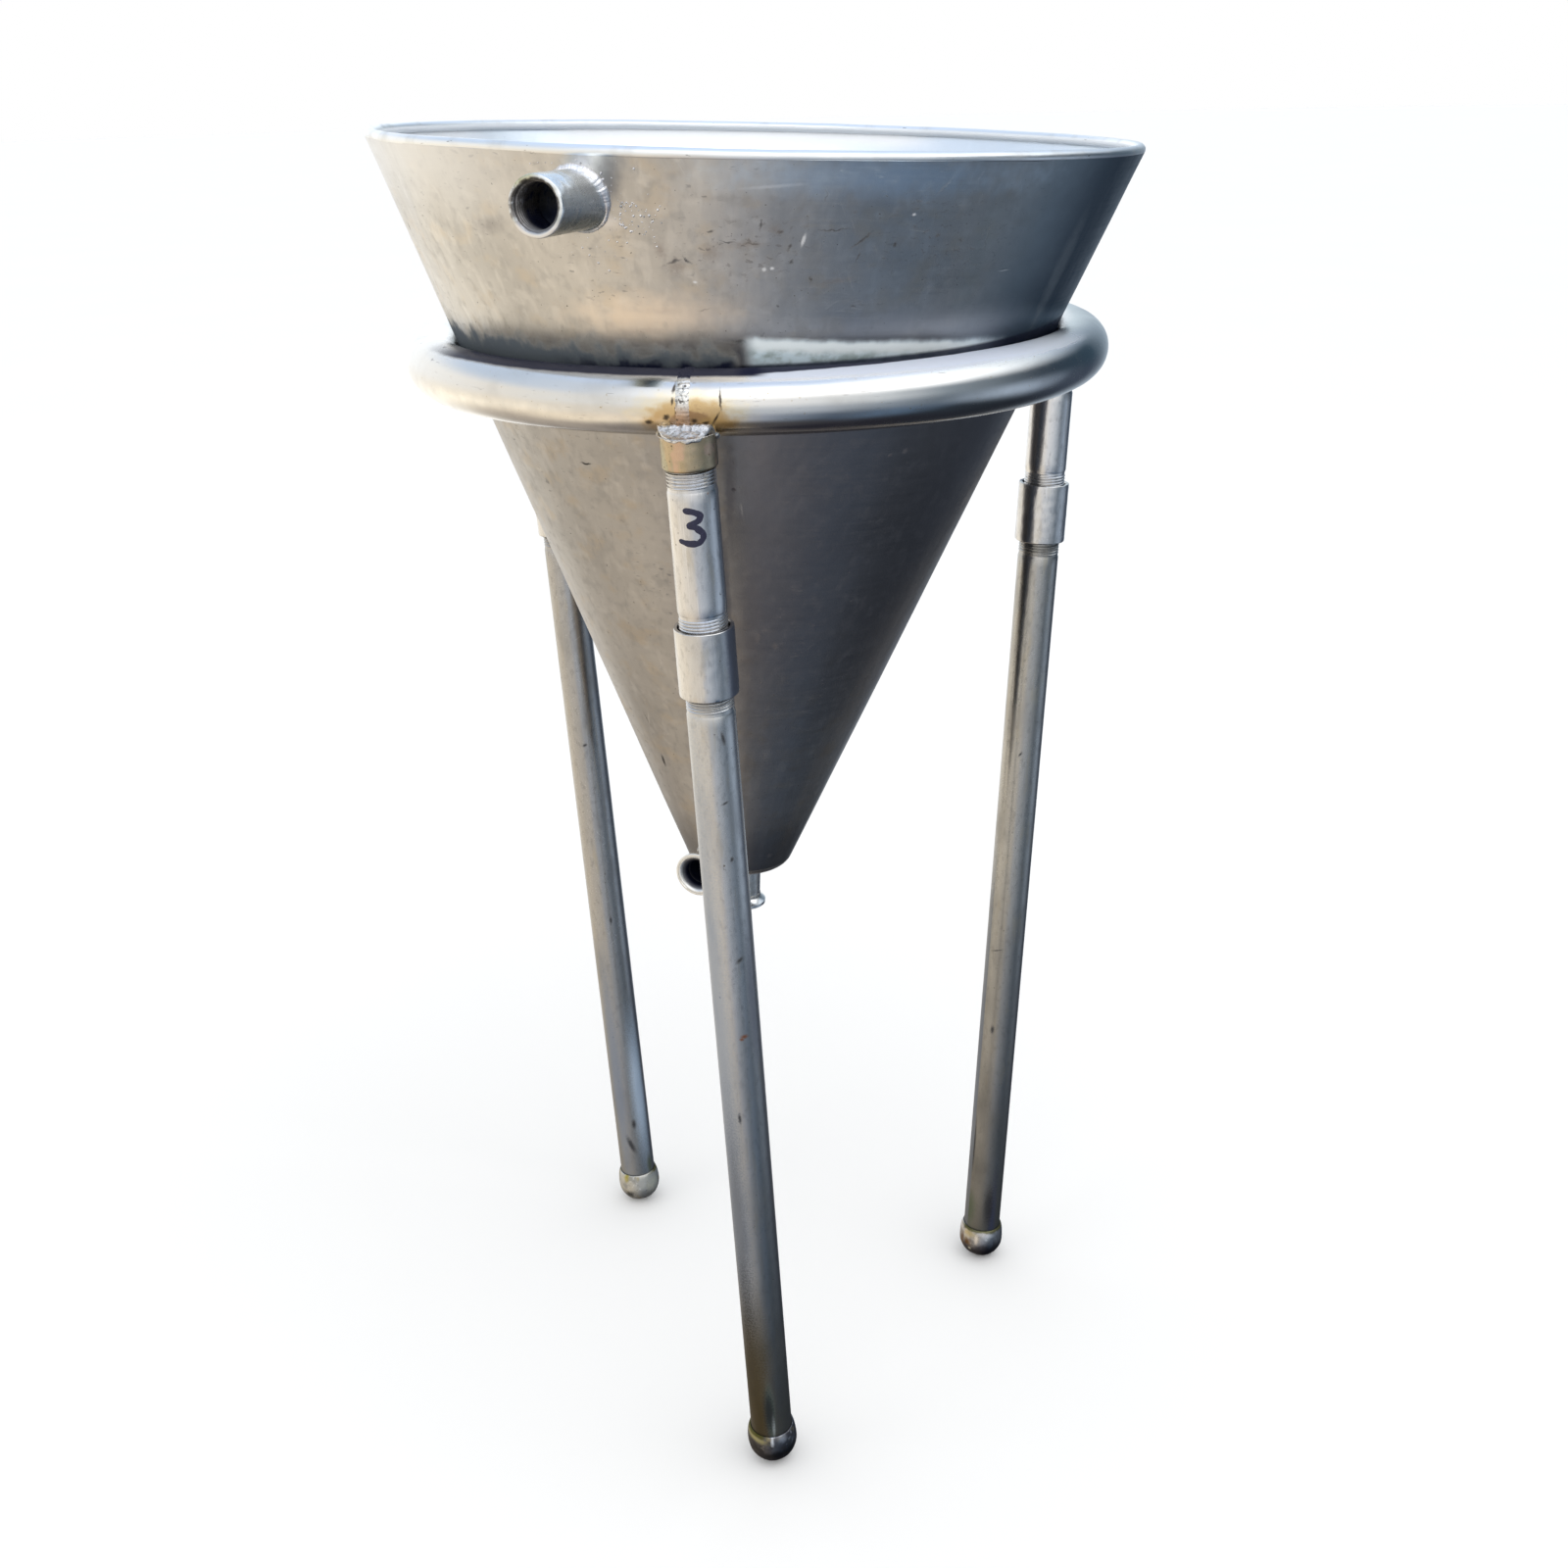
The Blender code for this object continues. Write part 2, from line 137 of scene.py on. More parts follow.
class Finish:
    """A surface in the making: a Principled shader, and short ways to feed it with patterns."""

    def __init__(self, name, colour, roughness, metallic=1.0):
        self.material = bpy.data.materials.new(name)
        self.material.use_nodes = True
        self.tree = self.material.node_tree
        self.shader = self.tree.nodes["Principled BSDF"]
        self.metal = metallic
        self.where = self.add("TexCoord").outputs["Object"]
        self.colour = (*colour, 1)
        self.roughness = roughness
        self.height = 0.0

    def add(self, kind, *inputs, **settings):
        node = self.tree.nodes.new("ShaderNode" + kind)
        for key, value in settings.items():
            setattr(node, key, value)
        for socket, value in zip(node.inputs, inputs):
            self.feed(socket, value)
        return node

    def feed(self, socket, value):
        if isinstance(value, bpy.types.NodeSocket):
            self.tree.links.new(value, socket)
        elif value is not None:
            socket.default_value = value

    def sum(self, how, *values):
        """Any step of arithmetic between values of the pattern, by the name of the node's operation."""
        return self.add("Math", *values, operation=how).outputs[0]

    def times(self, one, other):
        return self.sum("MULTIPLY", one, other)

    def from_axis(self):
        """How far off the piece's own Z axis a place is, in metres, and its x, y and z."""
        x, y, z = self.add("SeparateXYZ", self.where).outputs[:3]
        return self.sum("SQRT", self.sum("MULTIPLY_ADD", x, x, self.times(y, y))), x, y, z

    def noise(self, size, stretch=(1, 1, 1), detail=2.0, where=None, shift=0.0):
        """Cloudy pattern from 0 to 1, with patches of a size in metres, stretched along each axis."""
        scale = [1 / (size * s) for s in stretch]
        spread = self.add("VectorMath", where or self.where, scale, (shift,) * 3, operation="MULTIPLY_ADD")
        cloud = self.add("TexNoise", spread.outputs[0])
        cloud.inputs["Scale"].default_value = 1
        cloud.inputs["Detail"].default_value = detail
        return cloud.outputs[0]

    def band(self, value, low, high):
        """0 where a value is at low, 1 where it is at high, and soft between."""
        return self.add("MapRange", value, low, high, 0.0, 1.0, interpolation_type="SMOOTHSTEP").outputs[0]

    def between(self, value, start, full, fading, gone):
        """1 over a stretch of a value, and soft at both of its ends."""
        return self.times(self.band(value, start, full), self.band(value, gone, fading))

    def mixed(self, share, one, other):
        node = self.add("Mix", share, data_type="RGBA")
        self.feed(node.inputs[6], one)
        self.feed(node.inputs[7], other)
        return node.outputs[2]

    def stain(self, share, colour, strength=1.0, rougher=0.0, film=0.0):
        """Lay a colour over the metal where share is 1, rougher there, and as a film that hides it."""
        part = share if strength == 1.0 else self.times(share, strength)
        self.colour = self.mixed(part, self.colour, (*colour, 1))
        if film:
            self.metal = self.times(self.metal, self.sum("MULTIPLY_ADD", share, -film, 1.0))
            self.shader.inputs["Specular IOR Level"].default_value = 0.05
        if rougher:
            self.roughness = self.sum("MULTIPLY_ADD", share, rougher, self.roughness)

    def shape(self, value, depth):
        """Raise the surface by a depth in metres where value is 1."""
        self.height = self.sum("MULTIPLY_ADD", value, depth, self.height)

    def unrolled(self, radius=0.25):
        """A round piece laid flat: metres round from the front, and height on its axis."""
        x, y, z = self.add("SeparateXYZ", self.where).outputs[:3]
        turn = self.sum("ARCTAN2", x, self.times(y, -1.0))
        return self.add("CombineXYZ", self.times(turn, radius), z, 0.0).outputs[0]

    def wandering(self, flat, size, reach):
        """The flat coordinates pushed about by a reach in metres, so that lines drawn in them waver."""
        spread = self.add("VectorMath", flat, (1 / size,) * 3, operation="MULTIPLY")
        cloud = self.add("TexNoise", spread.outputs[0])
        cloud.inputs["Scale"].default_value = 1
        push = self.add("VectorMath", cloud.outputs[1], (0.5, 0.5, 0.5), operation="SUBTRACT")
        return self.add("VectorMath", push.outputs[0], (3 * reach, 3 * reach, 0), flat,
                        operation="MULTIPLY_ADD").outputs[0]

    def nearest(self, flat, places, radius=0.25):
        """How far off the closest of several spots is, with 1 at its edge."""
        closest = 9.0
        for direction, height, length, width, tilt in places:
            round_it = math.radians((direction + 270) % 360 - 180) * radius
            away = self.add("Mapping", flat, (round_it, height, 0), (0, 0, math.radians(tilt)),
                            (length / 2, width / 2, 1), vector_type="TEXTURE")
            far = self.add("VectorMath", away.outputs[0], operation="LENGTH").outputs["Value"]
            closest = self.sum("MINIMUM", far, closest)
        return closest

    def marks(self, flat, places, radius=0.25, ragged=0.5, size=0.0015):
        """1 on each of several small marks: direction, height, length, width and tilt."""
        cloud = self.noise(size, where=flat)
        far = self.nearest(flat, places, radius)
        return self.band(self.sum("MULTIPLY_ADD", cloud, ragged, far), 1.0 + ragged, 0.55)

    def done(self):
        self.feed(self.shader.inputs["Base Color"], self.colour)
        self.feed(self.shader.inputs["Roughness"], self.roughness)
        self.feed(self.shader.inputs["Metallic"], self.metal)
        if not isinstance(self.height, float):
            bump = self.add("Bump")
            bump.inputs["Distance"].default_value = 1.0
            self.feed(bump.inputs["Height"], self.height)
            self.feed(self.shader.inputs["Normal"], bump.outputs[0])
        return self.material


def rolled_sheet(name, colour, roughness, dirt):
    """Satin sheet: blotches, faint roller lines all round, streaks down the wall, short scratches."""
    made = Finish(name, colour, roughness)
    darker, warmer = tuple(c * 0.72 for c in colour), (colour[0] * 1.02, colour[1] * 0.93, colour[2] * 0.80)
    lighter = tuple(min(1, c * 1.20) for c in colour)
    flat = made.unrolled()
    made.stain(made.band(made.noise(0.055, detail=5), 0.42, 0.68), darker, 0.42)
    made.stain(made.band(made.noise(0.024, (1, 1, 0.7), 6, shift=3.1), 0.50, 0.70), warmer, dirt)
    made.stain(made.band(made.noise(0.010, detail=6, shift=17.0), 0.50, 0.70), darker, 0.42, 0.05)
    made.stain(made.band(made.noise(0.013, (1, 1, 0.8), 4, shift=33.0), 0.54, 0.70), lighter, 0.40)
    made.stain(made.band(made.noise(0.009, (1, 1, 14), 3, shift=7.7), 0.52, 0.74), lighter, 0.45)
    made.stain(made.band(made.noise(0.006, (1, 1, 18), 3, shift=1.3), 0.56, 0.80), darker, 0.50, 0.05)
    lines = made.noise(0.0011, (60, 60, 1), 3)
    made.roughness = made.sum("MULTIPLY_ADD", lines, 0.12, made.roughness)
    made.shape(lines, 0.000012)
    made.shape(made.noise(0.022, (1, 1, 1.6), 2, shift=21.0), 0.00045)
    made.shape(made.noise(0.006, (1, 1, 5), 2, shift=25.0), 0.00004)
    for turn, shift in ((8, 0.0), (64, 4.0), (-37, 9.0)):
        slanted = made.add("Mapping", flat, (0, 0, 0), (0, 0, math.radians(turn)))
        hairs = made.noise(0.0007, (48, 1, 1), 1, slanted.outputs[0], shift)
        patches = made.band(made.noise(0.045, where=flat, shift=shift + 2), 0.45, 0.62)
        cut = made.times(made.band(hairs, 0.70, 0.78), patches)
        made.stain(cut, lighter, 0.55, 0.08)
        made.shape(cut, -0.00002)
    scuffs = made.times(made.band(made.noise(0.0026, (3, 3, 1), 4, shift=13), 0.62, 0.70),
                        made.band(made.noise(0.060, where=flat, shift=6.5), 0.52, 0.60))
    made.stain(scuffs, (0.16, 0.16, 0.17), 0.45, 0.1)
    specks = made.band(made.noise(0.0021, detail=1, shift=5.5), 0.755, 0.80)
    made.stain(specks, (0.07, 0.06, 0.05), 0.75, 0.25)
    flecks = made.band(made.noise(0.0017, (1.4, 1.4, 1), 2, shift=41.0), 0.765, 0.81)
    made.stain(flecks, (0.92, 0.91, 0.88), 0.55, 0.1)
    return made, flat


upper_finish, flat = rolled_sheet("satin_sheet", (0.63, 0.615, 0.59), 0.30, 0.55)
scrawl = upper_finish.wandering(flat, 0.005, 0.0017)
dark_marks = upper_finish.marks(scrawl, [
    (-101.7, 0.0863, 0.010, 0.0018, 25), (-99.8, 0.0880, 0.006, 0.0013, -40),
    (-94.2, 0.0995, 0.008, 0.0014, -4), (-91.0, 0.0992, 0.0086, 0.0014, 8),
    (-89.8, 0.1106, 0.0018, 0.0055, -8), (-87.4, 0.1061, 0.0036, 0.0024, 0),
    (-85.9, 0.0979, 0.0019, 0.0037, 0), (-85.4, 0.0882, 0.0025, 0.0031, 0),
    (-81.8, 0.1286, 0.0010, 0.0061, 0), (-80.0, 0.1076, 0.0185, 0.0010, 2),
    (-76.2, 0.1011, 0.0162, 0.0014, 43), (-76.3, 0.0914, 0.0011, 0.0062, -10),
    (-82.6, 0.0767, 0.0019, 0.0038, 0), (-86.9, 0.0596, 0.0019, 0.0019, 0),
    (-98.0, 0.0565, 0.0076, 0.0011, 8), (-56.6, 0.1019, 0.0014, 0.0168, 4),
    (-57.1, 0.0844, 0.0071, 0.0016, -12), (-50.7, 0.0799, 0.0099, 0.0018, -3),
    (-66.0, 0.1339, 0.0125, 0.0014, 50), (-60.9, 0.1401, 0.0082, 0.0013, 60),
    (-71.3, 0.0985, 0.0028, 0.0028, 0), (-75.6, 0.0596, 0.0038, 0.0012, 0),
    (-96.4, 0.1057, 0.0049, 0.0013, 0), (-92.5, 0.0361, 0.0100, 0.0042, 0),
    (66, 0.0700, 0.010, 0.0016, 30), (131, 0.1020, 0.006, 0.0016, -50), (12, 0.1200, 0.009, 0.0012, 15),
    (-160, 0.0900, 0.007, 0.0014, 60), (98, 0.0400, 0.008, 0.0013, -20)], ragged=1.0, size=0.0011)
upper_finish.stain(dark_marks, (0.07, 0.07, 0.08), 0.75, 0.2)
scabs = upper_finish.marks(scrawl, [
    (-101.5, 0.0830, 0.012, 0.008, 25), (-96.5, 0.0930, 0.010, 0.010, -30), (-91.5, 0.0985, 0.018, 0.005, 5),
    (-103.5, 0.0930, 0.006, 0.010, 10), (-88.0, 0.1080, 0.008, 0.006, -30), (-79.0, 0.0760, 0.020, 0.004, 12),
    (-104.0, 0.0545, 0.020, 0.004, 4), (-108, 0.0400, 0.030, 0.005, 6)], ragged=1.5, size=0.0022)
upper_finish.stain(scabs, (0.40, 0.34, 0.30), 0.55, 0.1)
pale_marks = upper_finish.marks(flat, [
    (-84.1, 0.1015, 0.0026, 0.0093, -12), (-89.2, 0.0831, 0.0031, 0.0031, 0),
    (-88.1, 0.0838, 0.0031, 0.0025, 0), (-69.4, 0.1170, 0.0030, 0.0022, 0),
    (-98.9, 0.0739, 0.0031, 0.0019, 0), (-50.8, 0.0793, 0.011, 0.0010, 3),
    (45, 0.0900, 0.030, 0.0012, 40), (158, 0.0700, 0.022, 0.0012, -12)])
upper_finish.stain(pale_marks, (1.0, 1.0, 1.0), 0.85, 0.3)
wiped = upper_finish.marks(flat, [
    (-112.6, 0.1425, 0.016, 0.012, 70), (-110.4, 0.1100, 0.017, 0.011, -30),
    (-88.3, 0.1333, 0.039, 0.0022, 6)], ragged=0.9, size=0.004)
upper_finish.stain(wiped, (0.90, 0.88, 0.88), 0.6, 0.08)
# Painted reflection: a warm patch low on the left front, standing in for the warm surroundings that the wall
# mirrors there.
warm_reflection = upper_finish.marks(flat, [(-106, 0.0500, 0.120, 0.030, 4)], ragged=0.9, size=0.012)
upper_finish.stain(warm_reflection, (0.95, 0.83, 0.70), 0.75)
handled = upper_finish.marks(flat, [(-92, 0.0960, 0.085, 0.040, 10), (-62, 0.1000, 0.110, 0.050, -6)],
                             ragged=1.2, size=0.01)
squiggles = upper_finish.band(upper_finish.noise(0.0030, (1.6, 1, 1), 4, scrawl, 12.0), 0.585, 0.66)
scribbled = upper_finish.times(handled, squiggles)
upper_finish.stain(scribbled, (0.20, 0.18, 0.18), 0.55, 0.1)
smudged = upper_finish.marks(flat, [
    (-109.2, 0.1340, 0.014, 0.022, -8), (-131, 0.1010, 0.030, 0.010, 12), (150, 0.1150, 0.026, 0.012, -20)],
    ragged=1.1, size=0.006)
upper_finish.stain(smudged, (0.30, 0.28, 0.27), 0.55, 0.1)

# Over the ring: painted shade as a dark band at the left of the front leg, and at its right a thin
# dark line of painted shade and a pale band that is a painted reflection of the ring. The right end
# is darkened as painted shade, and the upper left is made lighter.
aside, rise = upper_finish.add("SeparateXYZ", flat).outputs[:2]
# Painted shade: the right end of the wall darker, darkest low down and furthest to the right.
right_end_shade = upper_finish.between(aside, 0.12, 0.20, 0.38, 0.62)
upper_finish.stain(right_end_shade, (0.30, 0.36, 0.40), 0.95)
upper_finish.stain(upper_finish.times(right_end_shade, upper_finish.band(rise, 0.085, 0.030)),
                   (0.06, 0.09, 0.13), 0.93)
upper_finish.stain(upper_finish.between(aside, 0.190, 0.270, 0.34, 0.52), (0.04, 0.08, 0.12), 0.93)
streaks = upper_finish.marks(flat, [(-35.0, 0.0760, 0.020, 0.080, 0), (-57, 0.0850, 0.018, 0.120, 0)],
                             ragged=0.5, size=0.006)
upper_finish.stain(streaks, (0.52, 0.55, 0.54), 0.40)
upper_finish.stain(upper_finish.times(upper_finish.between(aside, -0.10, -0.20, -0.45, -0.65),
                                      upper_finish.band(rise, 0.09, 0.14)), (0.77, 0.78, 0.80), 0.7)
# Painted shade: a dark band over the ring at the left of the front leg, with a soft upper edge and a navy
# strip along the ring.
left_half = upper_finish.between(aside, -0.008, -0.020, -0.34, -0.40)
cloud = upper_finish.noise(0.009, (1, 1.5, 1), 7, flat, 4.4)
sloping = upper_finish.sum("MULTIPLY_ADD", aside, -0.028, rise)
speckled = upper_finish.sum("MULTIPLY_ADD", cloud, 0.044, sloping)
shade_fringe = upper_finish.times(left_half, upper_finish.band(speckled, 0.064, 0.052))
upper_finish.stain(shade_fringe, (0.40, 0.38, 0.34), 0.55, 0.1)
ragged = upper_finish.sum("MULTIPLY_ADD", upper_finish.noise(0.015, detail=5, where=flat, shift=9.2),
                          0.030, sloping)
shade_edge = upper_finish.times(left_half, upper_finish.band(ragged, 0.0520, 0.0400))
upper_finish.stain(shade_edge, (0.20, 0.21, 0.21), 0.85, 0.2, 0.4)
shade_band = upper_finish.times(left_half, upper_finish.band(ragged, 0.0465, 0.0385))
upper_finish.stain(shade_band, (0.110, 0.128, 0.145), 0.95, 0.4, 0.92)
burns_and_shade = upper_finish.times(upper_finish.band(ragged, 0.0395, 0.0320),
                           upper_finish.between(aside, -0.008, -0.020, -0.10, -0.17))
upper_finish.stain(burns_and_shade, (0.008, 0.010, 0.032), 0.95)
# Painted shade above a pale band at the right of the front leg. The pale band is a painted reflection of the
# ring's bright top, with a painted highlight along its upper edge.
tilted_rise = upper_finish.sum("MULTIPLY_ADD", cloud, 0.005, upper_finish.sum("MULTIPLY_ADD", aside, 0.030, rise))
right_half = upper_finish.between(aside, -0.012, 0.002, 0.14, 0.22)
shaded = upper_finish.times(upper_finish.between(aside, 0.02, 0.07, 0.16, 0.22),
                            upper_finish.band(tilted_rise, 0.075, 0.050))
upper_finish.stain(shaded, (0.36, 0.37, 0.39), 0.7)
rub_and_reflection = upper_finish.times(right_half, upper_finish.band(tilted_rise, 0.0440, 0.0380))
upper_finish.stain(rub_and_reflection, (0.78, 0.93, 1.0), 0.93, 0.2, 0.84)
painted_gleam = upper_finish.times(right_half, upper_finish.between(tilted_rise, 0.0300, 0.0355, 0.0385, 0.0420))
upper_finish.stain(painted_gleam, (0.95, 1.0, 1.0), 0.8)
patchy = upper_finish.band(upper_finish.noise(0.010, (1.5, 1, 1), 5, flat, 27.0), 0.38, 0.62)
dulled = upper_finish.times(upper_finish.band(tilted_rise, 0.0370, 0.0290), patchy)
upper_finish.stain(upper_finish.times(right_half, dulled), (0.26, 0.33, 0.30), 0.8)
# Painted shade: a thin navy line along the ring at the right of the front leg.
lower_shade_line = upper_finish.sum("MULTIPLY_ADD", aside, -0.050, rise)
upper_finish.stain(upper_finish.times(upper_finish.band(lower_shade_line, 0.0222, 0.0196),
                                      upper_finish.between(aside, -0.020, -0.008, 0.38, 0.62)),
                   (0.02, 0.025, 0.06), 0.9, 0.1)
under_rim = upper_finish.marks(flat, [(-74, 0.1400, 0.190, 0.026, 0)], ragged=0.9, size=0.009)
upper_finish.stain(under_rim, (0.78, 0.90, 1.0), 0.75)

# The inner face is paler and bluer, as a painted reflection of the open sky. Its far left end is
# painted white and rougher as a painted highlight, and near its top a white film is painted light
# over the shade under the rim.
reach, x, _, z = upper_finish.from_axis()
thick = upper_finish.sum("MULTIPLY_ADD", z, -WALL_SLOPE, reach)
inner = upper_finish.band(thick, WALL_AT_RING - 0.0016, WALL_AT_RING - 0.0020)
upper_finish.stain(inner, (0.86, 0.93, 1.0), 0.8)
# Painted highlight: the far left of the inner face white and rougher.
far_left_highlight = upper_finish.times(upper_finish.band(x, -0.205, -0.245), inner)
upper_finish.stain(far_left_highlight, (1.0, 1.0, 1.0), 1.0, 0.4)
# Painted light: a white film near the top of the inner face, over the shade under the rim.
painted_fill_light = upper_finish.times(upper_finish.band(z, 0.132, 0.143),
                            upper_finish.times(inner, upper_finish.between(x, -0.19, -0.14, 0.12, 0.17)))
upper_finish.stain(painted_fill_light, (0.98, 0.99, 1.0), 0.9, 0.3, 0.8)

INLET_MOUTH = (-0.13286, -0.28519, 1.0094)
inlet_place = Matrix.Translation(INLET_MOUTH) @ Vector(
    (-0.40674, -0.91355, 0)).to_track_quat("Z", "Y").to_matrix().to_4x4()
upper = rolled_wall(0.00015, UPPER_EDGE, 420, 52,
                    lambda turn, rise: waves_and_dents(turn, rise, UPPER_DENTS, 0, UPPER_EDGE))
upper = holed(upper, vessel, inlet_place, 0.0139, 0.09)
SHEETS = ["front_left", "front_right", "right", "back_right", "back_left", "left"]
piece("upper_wall", upper, upper_finish.done(), "shell_steel", *[f"upper_shell_{side}" for side in SHEETS],
      place=vessel)


# The cone below the ring. It is the same sheet, duller and more handled, rolled down to a
# narrow end that carries the side outlet. Its welds are ground flush, so nothing but a faint
# change of sheen shows where the sheets meet.

CONE_END = -0.424
CONE_DENTS = [(-60, -0.120, 0.030, 0.0008), (-118, -0.210, 0.022, 0.0007), (20, -0.180, 0.026, 0.0009),
              (95, -0.090, 0.030, 0.0010), (160, -0.240, 0.020, 0.0007)]

cone_finish, flat = rolled_sheet("dull_sheet", (0.47, 0.457, 0.445), 0.33, 0.7)
scrawl = cone_finish.wandering(flat, 0.006, 0.0010)
cone_finish.stain(cone_finish.marks(scrawl, [
    (-58.8, -0.0443, 0.006, 0.005, 0), (-62.1, -0.0469, 0.005, 0.003, 40),
    (-86.9, -0.1904, 0.0080, 0.0095, 0), (-81.4, -0.1980, 0.0105, 0.0060, -15),
    (-136.4, -0.3200, 0.013, 0.010, 60), (-93.8, -0.0694, 0.005, 0.003, 0),
    (-90.6, -0.1836, 0.0080, 0.0016, -20), (-137.5, -0.2810, 0.0015, 0.016, 35),
    (-61.9, -0.4097, 0.030, 0.005, 0), (-126.0, -0.0602, 0.014, 0.0021, 4),
    (-40, -0.150, 0.016, 0.0014, 35), (75, -0.130, 0.012, 0.002, -25), (140, -0.200, 0.014, 0.002, 60)]),
                  (0.03, 0.028, 0.026), 0.9, 0.2)
# Painted reflection: two tall dark bands in the cone just right of the front leg, where the leg mirrors in
# it.
cone_finish.stain(cone_finish.marks(flat, [
    (-94.4, -0.0695, 0.012, 0.085, 0), (-95.6, -0.150, 0.009, 0.110, 3)], ragged=0.7, size=0.006),
    (0.10, 0.10, 0.13), 0.6, 0.1)
cone_finish.stain(cone_finish.marks(flat, [
    (-92.0, -0.0843, 0.0022, 0.0108, 10), (-136.2, -0.2810, 0.020, 0.0014, 50),
    (-104, -0.160, 0.030, 0.0012, 75), (-48, -0.210, 0.024, 0.0012, 80),
    (110, -0.120, 0.030, 0.0012, 65)]), (0.85, 0.82, 0.78), 0.5, 0.1)

aside, rise = cone_finish.add("SeparateXYZ", flat).outputs[:2]
# Painted shade: the cone darker at the right low down, darker still at the far right. The narrow end is
# darker all round.
right_side = cone_finish.between(aside, -0.03, 0.01, 0.38, 0.62)
cone_finish.stain(cone_finish.times(right_side, cone_finish.band(rise, -0.36, -0.15)),
                  (0.36, 0.325, 0.315), 0.9)
far_right = cone_finish.between(aside, 0.10, 0.20, 0.34, 0.52)
cone_finish.stain(cone_finish.times(far_right, cone_finish.band(rise, -0.34, -0.12)),
                  (0.200, 0.190, 0.195), 0.85)
cone_finish.stain(cone_finish.band(rise, -0.36, -0.41), (0.20, 0.195, 0.20), 0.75)

side_place = Matrix.Translation((-0.06045, -0.06624, 0.4724)) @ Vector(
    (-0.42262, -0.90631, 0)).to_track_quat("Z", "Y").to_matrix().to_4x4()
lower = rolled_wall(CONE_END, -0.00015, 360, 86,
                    lambda turn, rise: waves_and_dents(turn, rise, CONE_DENTS, CONE_END, 0))
lower = holed(lower, vessel, side_place, 0.0108, 0.065)
piece("hopper_cone", lower, cone_finish.done(), "cone_steel", "lower_cone_end",
      *[f"lower_cone_{side}" for side in SHEETS], place=vessel)


# The rim. The sheet's edge is rolled outwards into a bead of about 8 mm, so that it is safe
# to hold and the mouth keeps its shape. The wall runs smoothly into the roll. Its top is
# rubbed bright, and a pale film on its inner underside is painted light over the shade there.

BEAD = 0.0039
BEAD_RISE = 0.1503
BEAD_RADIUS = wall_radius(BEAD_RISE) - BEAD / math.cos(CONE_ANGLE)


def rolled_edge(around, sides):
    rows = []
    for i in range(sides):
        swing = math.tau * i / sides
        row = []
        for turn in np.linspace(0, math.tau, around, endpoint=False):
            spot = Vector((math.cos(turn), math.sin(turn), 0))
            size = BEAD + 0.00010 * noise.noise(spot * 9 + Vector((0, 0, swing)))
            lift = 0.00035 * noise.noise(spot * 3.2) + 0.00012 * noise.noise(spot * 14)
            radius = BEAD_RADIUS + size * math.cos(swing) + 0.0004 * noise.noise(spot * 2.1)
            row.append((radius * spot.x, radius * spot.y, BEAD_RISE + lift + size * math.sin(swing)))
        rows.append(row)
    return skin(np.array(rows))


rim_finish = Finish("rubbed_edge", (0.84, 0.85, 0.85), 0.30)
rim_finish.stain(rim_finish.band(rim_finish.noise(0.02, detail=5), 0.48, 0.75), (0.62, 0.60, 0.56), 0.5, 0.14)
rim_finish.stain(rim_finish.band(rim_finish.noise(0.0016, (5, 5, 1), 2, shift=2), 0.70, 0.78),
                 (0.14, 0.13, 0.12), 0.7, 0.2)
rim_finish.shape(rim_finish.noise(0.003, (3, 3, 1), 3), 0.00008)
reach, _, _, z = rim_finish.from_axis()
# Painted light: a pale film on the inner underside of the roll, over the shade there.
painted_fill_light = rim_finish.times(rim_finish.band(reach, BEAD_RADIUS - 0.0004, BEAD_RADIUS - 0.0022),
                          rim_finish.band(z, BEAD_RISE + 0.0022, BEAD_RISE))
rim_finish.stain(painted_fill_light, (0.88, 0.91, 0.94), 0.9, 0.3, 0.75)
piece("rolled_rim", rolled_edge(540, 24), rim_finish.done(), "bright_steel", "rim_bead", place=vessel)


# The closed end of the cone: a small pressed dish with a rounded corner, welded to the
# cone and ground. The drain leaves it a little beside its middle.

KNUCKLE = 0.012
DISH_EDGE = CONE_END - 0.0003
BEND = (wall_radius(DISH_EDGE) - KNUCKLE * math.cos(CONE_ANGLE),
        DISH_EDGE + KNUCKLE * math.sin(CONE_ANGLE))


def dish_face(corner, rings):
    """One face of the dish, from its edge round the corner and over the crown to the middle."""
    turns = np.linspace(-CONE_ANGLE, -math.pi / 2, 14)
    face = [(BEND[0] + corner * math.cos(t), BEND[1] + corner * math.sin(t)) for t in turns]
    spread, level = face[-1]
    shares = np.linspace(1, 0.0005, rings)[1:]
    return face + [(spread * s, level - 0.002 * (1 - s * s)) for s in shares]


dish_bottom = BEND[1] - KNUCKLE - 0.002
outer_face, inner_face = dish_face(KNUCKLE, 22), dish_face(KNUCKLE - SHEET, 22)
inner_face[0] = (wall_radius(DISH_EDGE) - SHEET_ACROSS, DISH_EDGE)
upside_down = Matrix.Rotation(math.pi, 4, "X")
drain_place = vessel @ Matrix.Translation((0.0045, 0, dish_bottom - 0.0395)) @ upside_down
dish = holed(lathe(outer_face[::-1] + inner_face, 144), vessel, drain_place, 0.0108, 0.06)
dish_finish, flat = rolled_sheet("pressed_sheet", (0.50, 0.485, 0.465), 0.38, 0.8)
dish_finish.stain(dish_finish.band(dish_finish.noise(0.012, detail=4, shift=4), 0.5, 0.7),
                  (0.20, 0.18, 0.16), 0.6, 0.15)
piece("pressed_bottom", dish, dish_finish.done(), "cone_steel", "dished_bottom", place=vessel)


# The inlet: a short turned socket, threaded inside, welded level onto the wall with a thick
# uneven bead. Its mouth is knocked and rubbed, and drops of weld metal sit on the wall.

INLET_OUTER, INLET_BORE = 0.0184, 0.0139


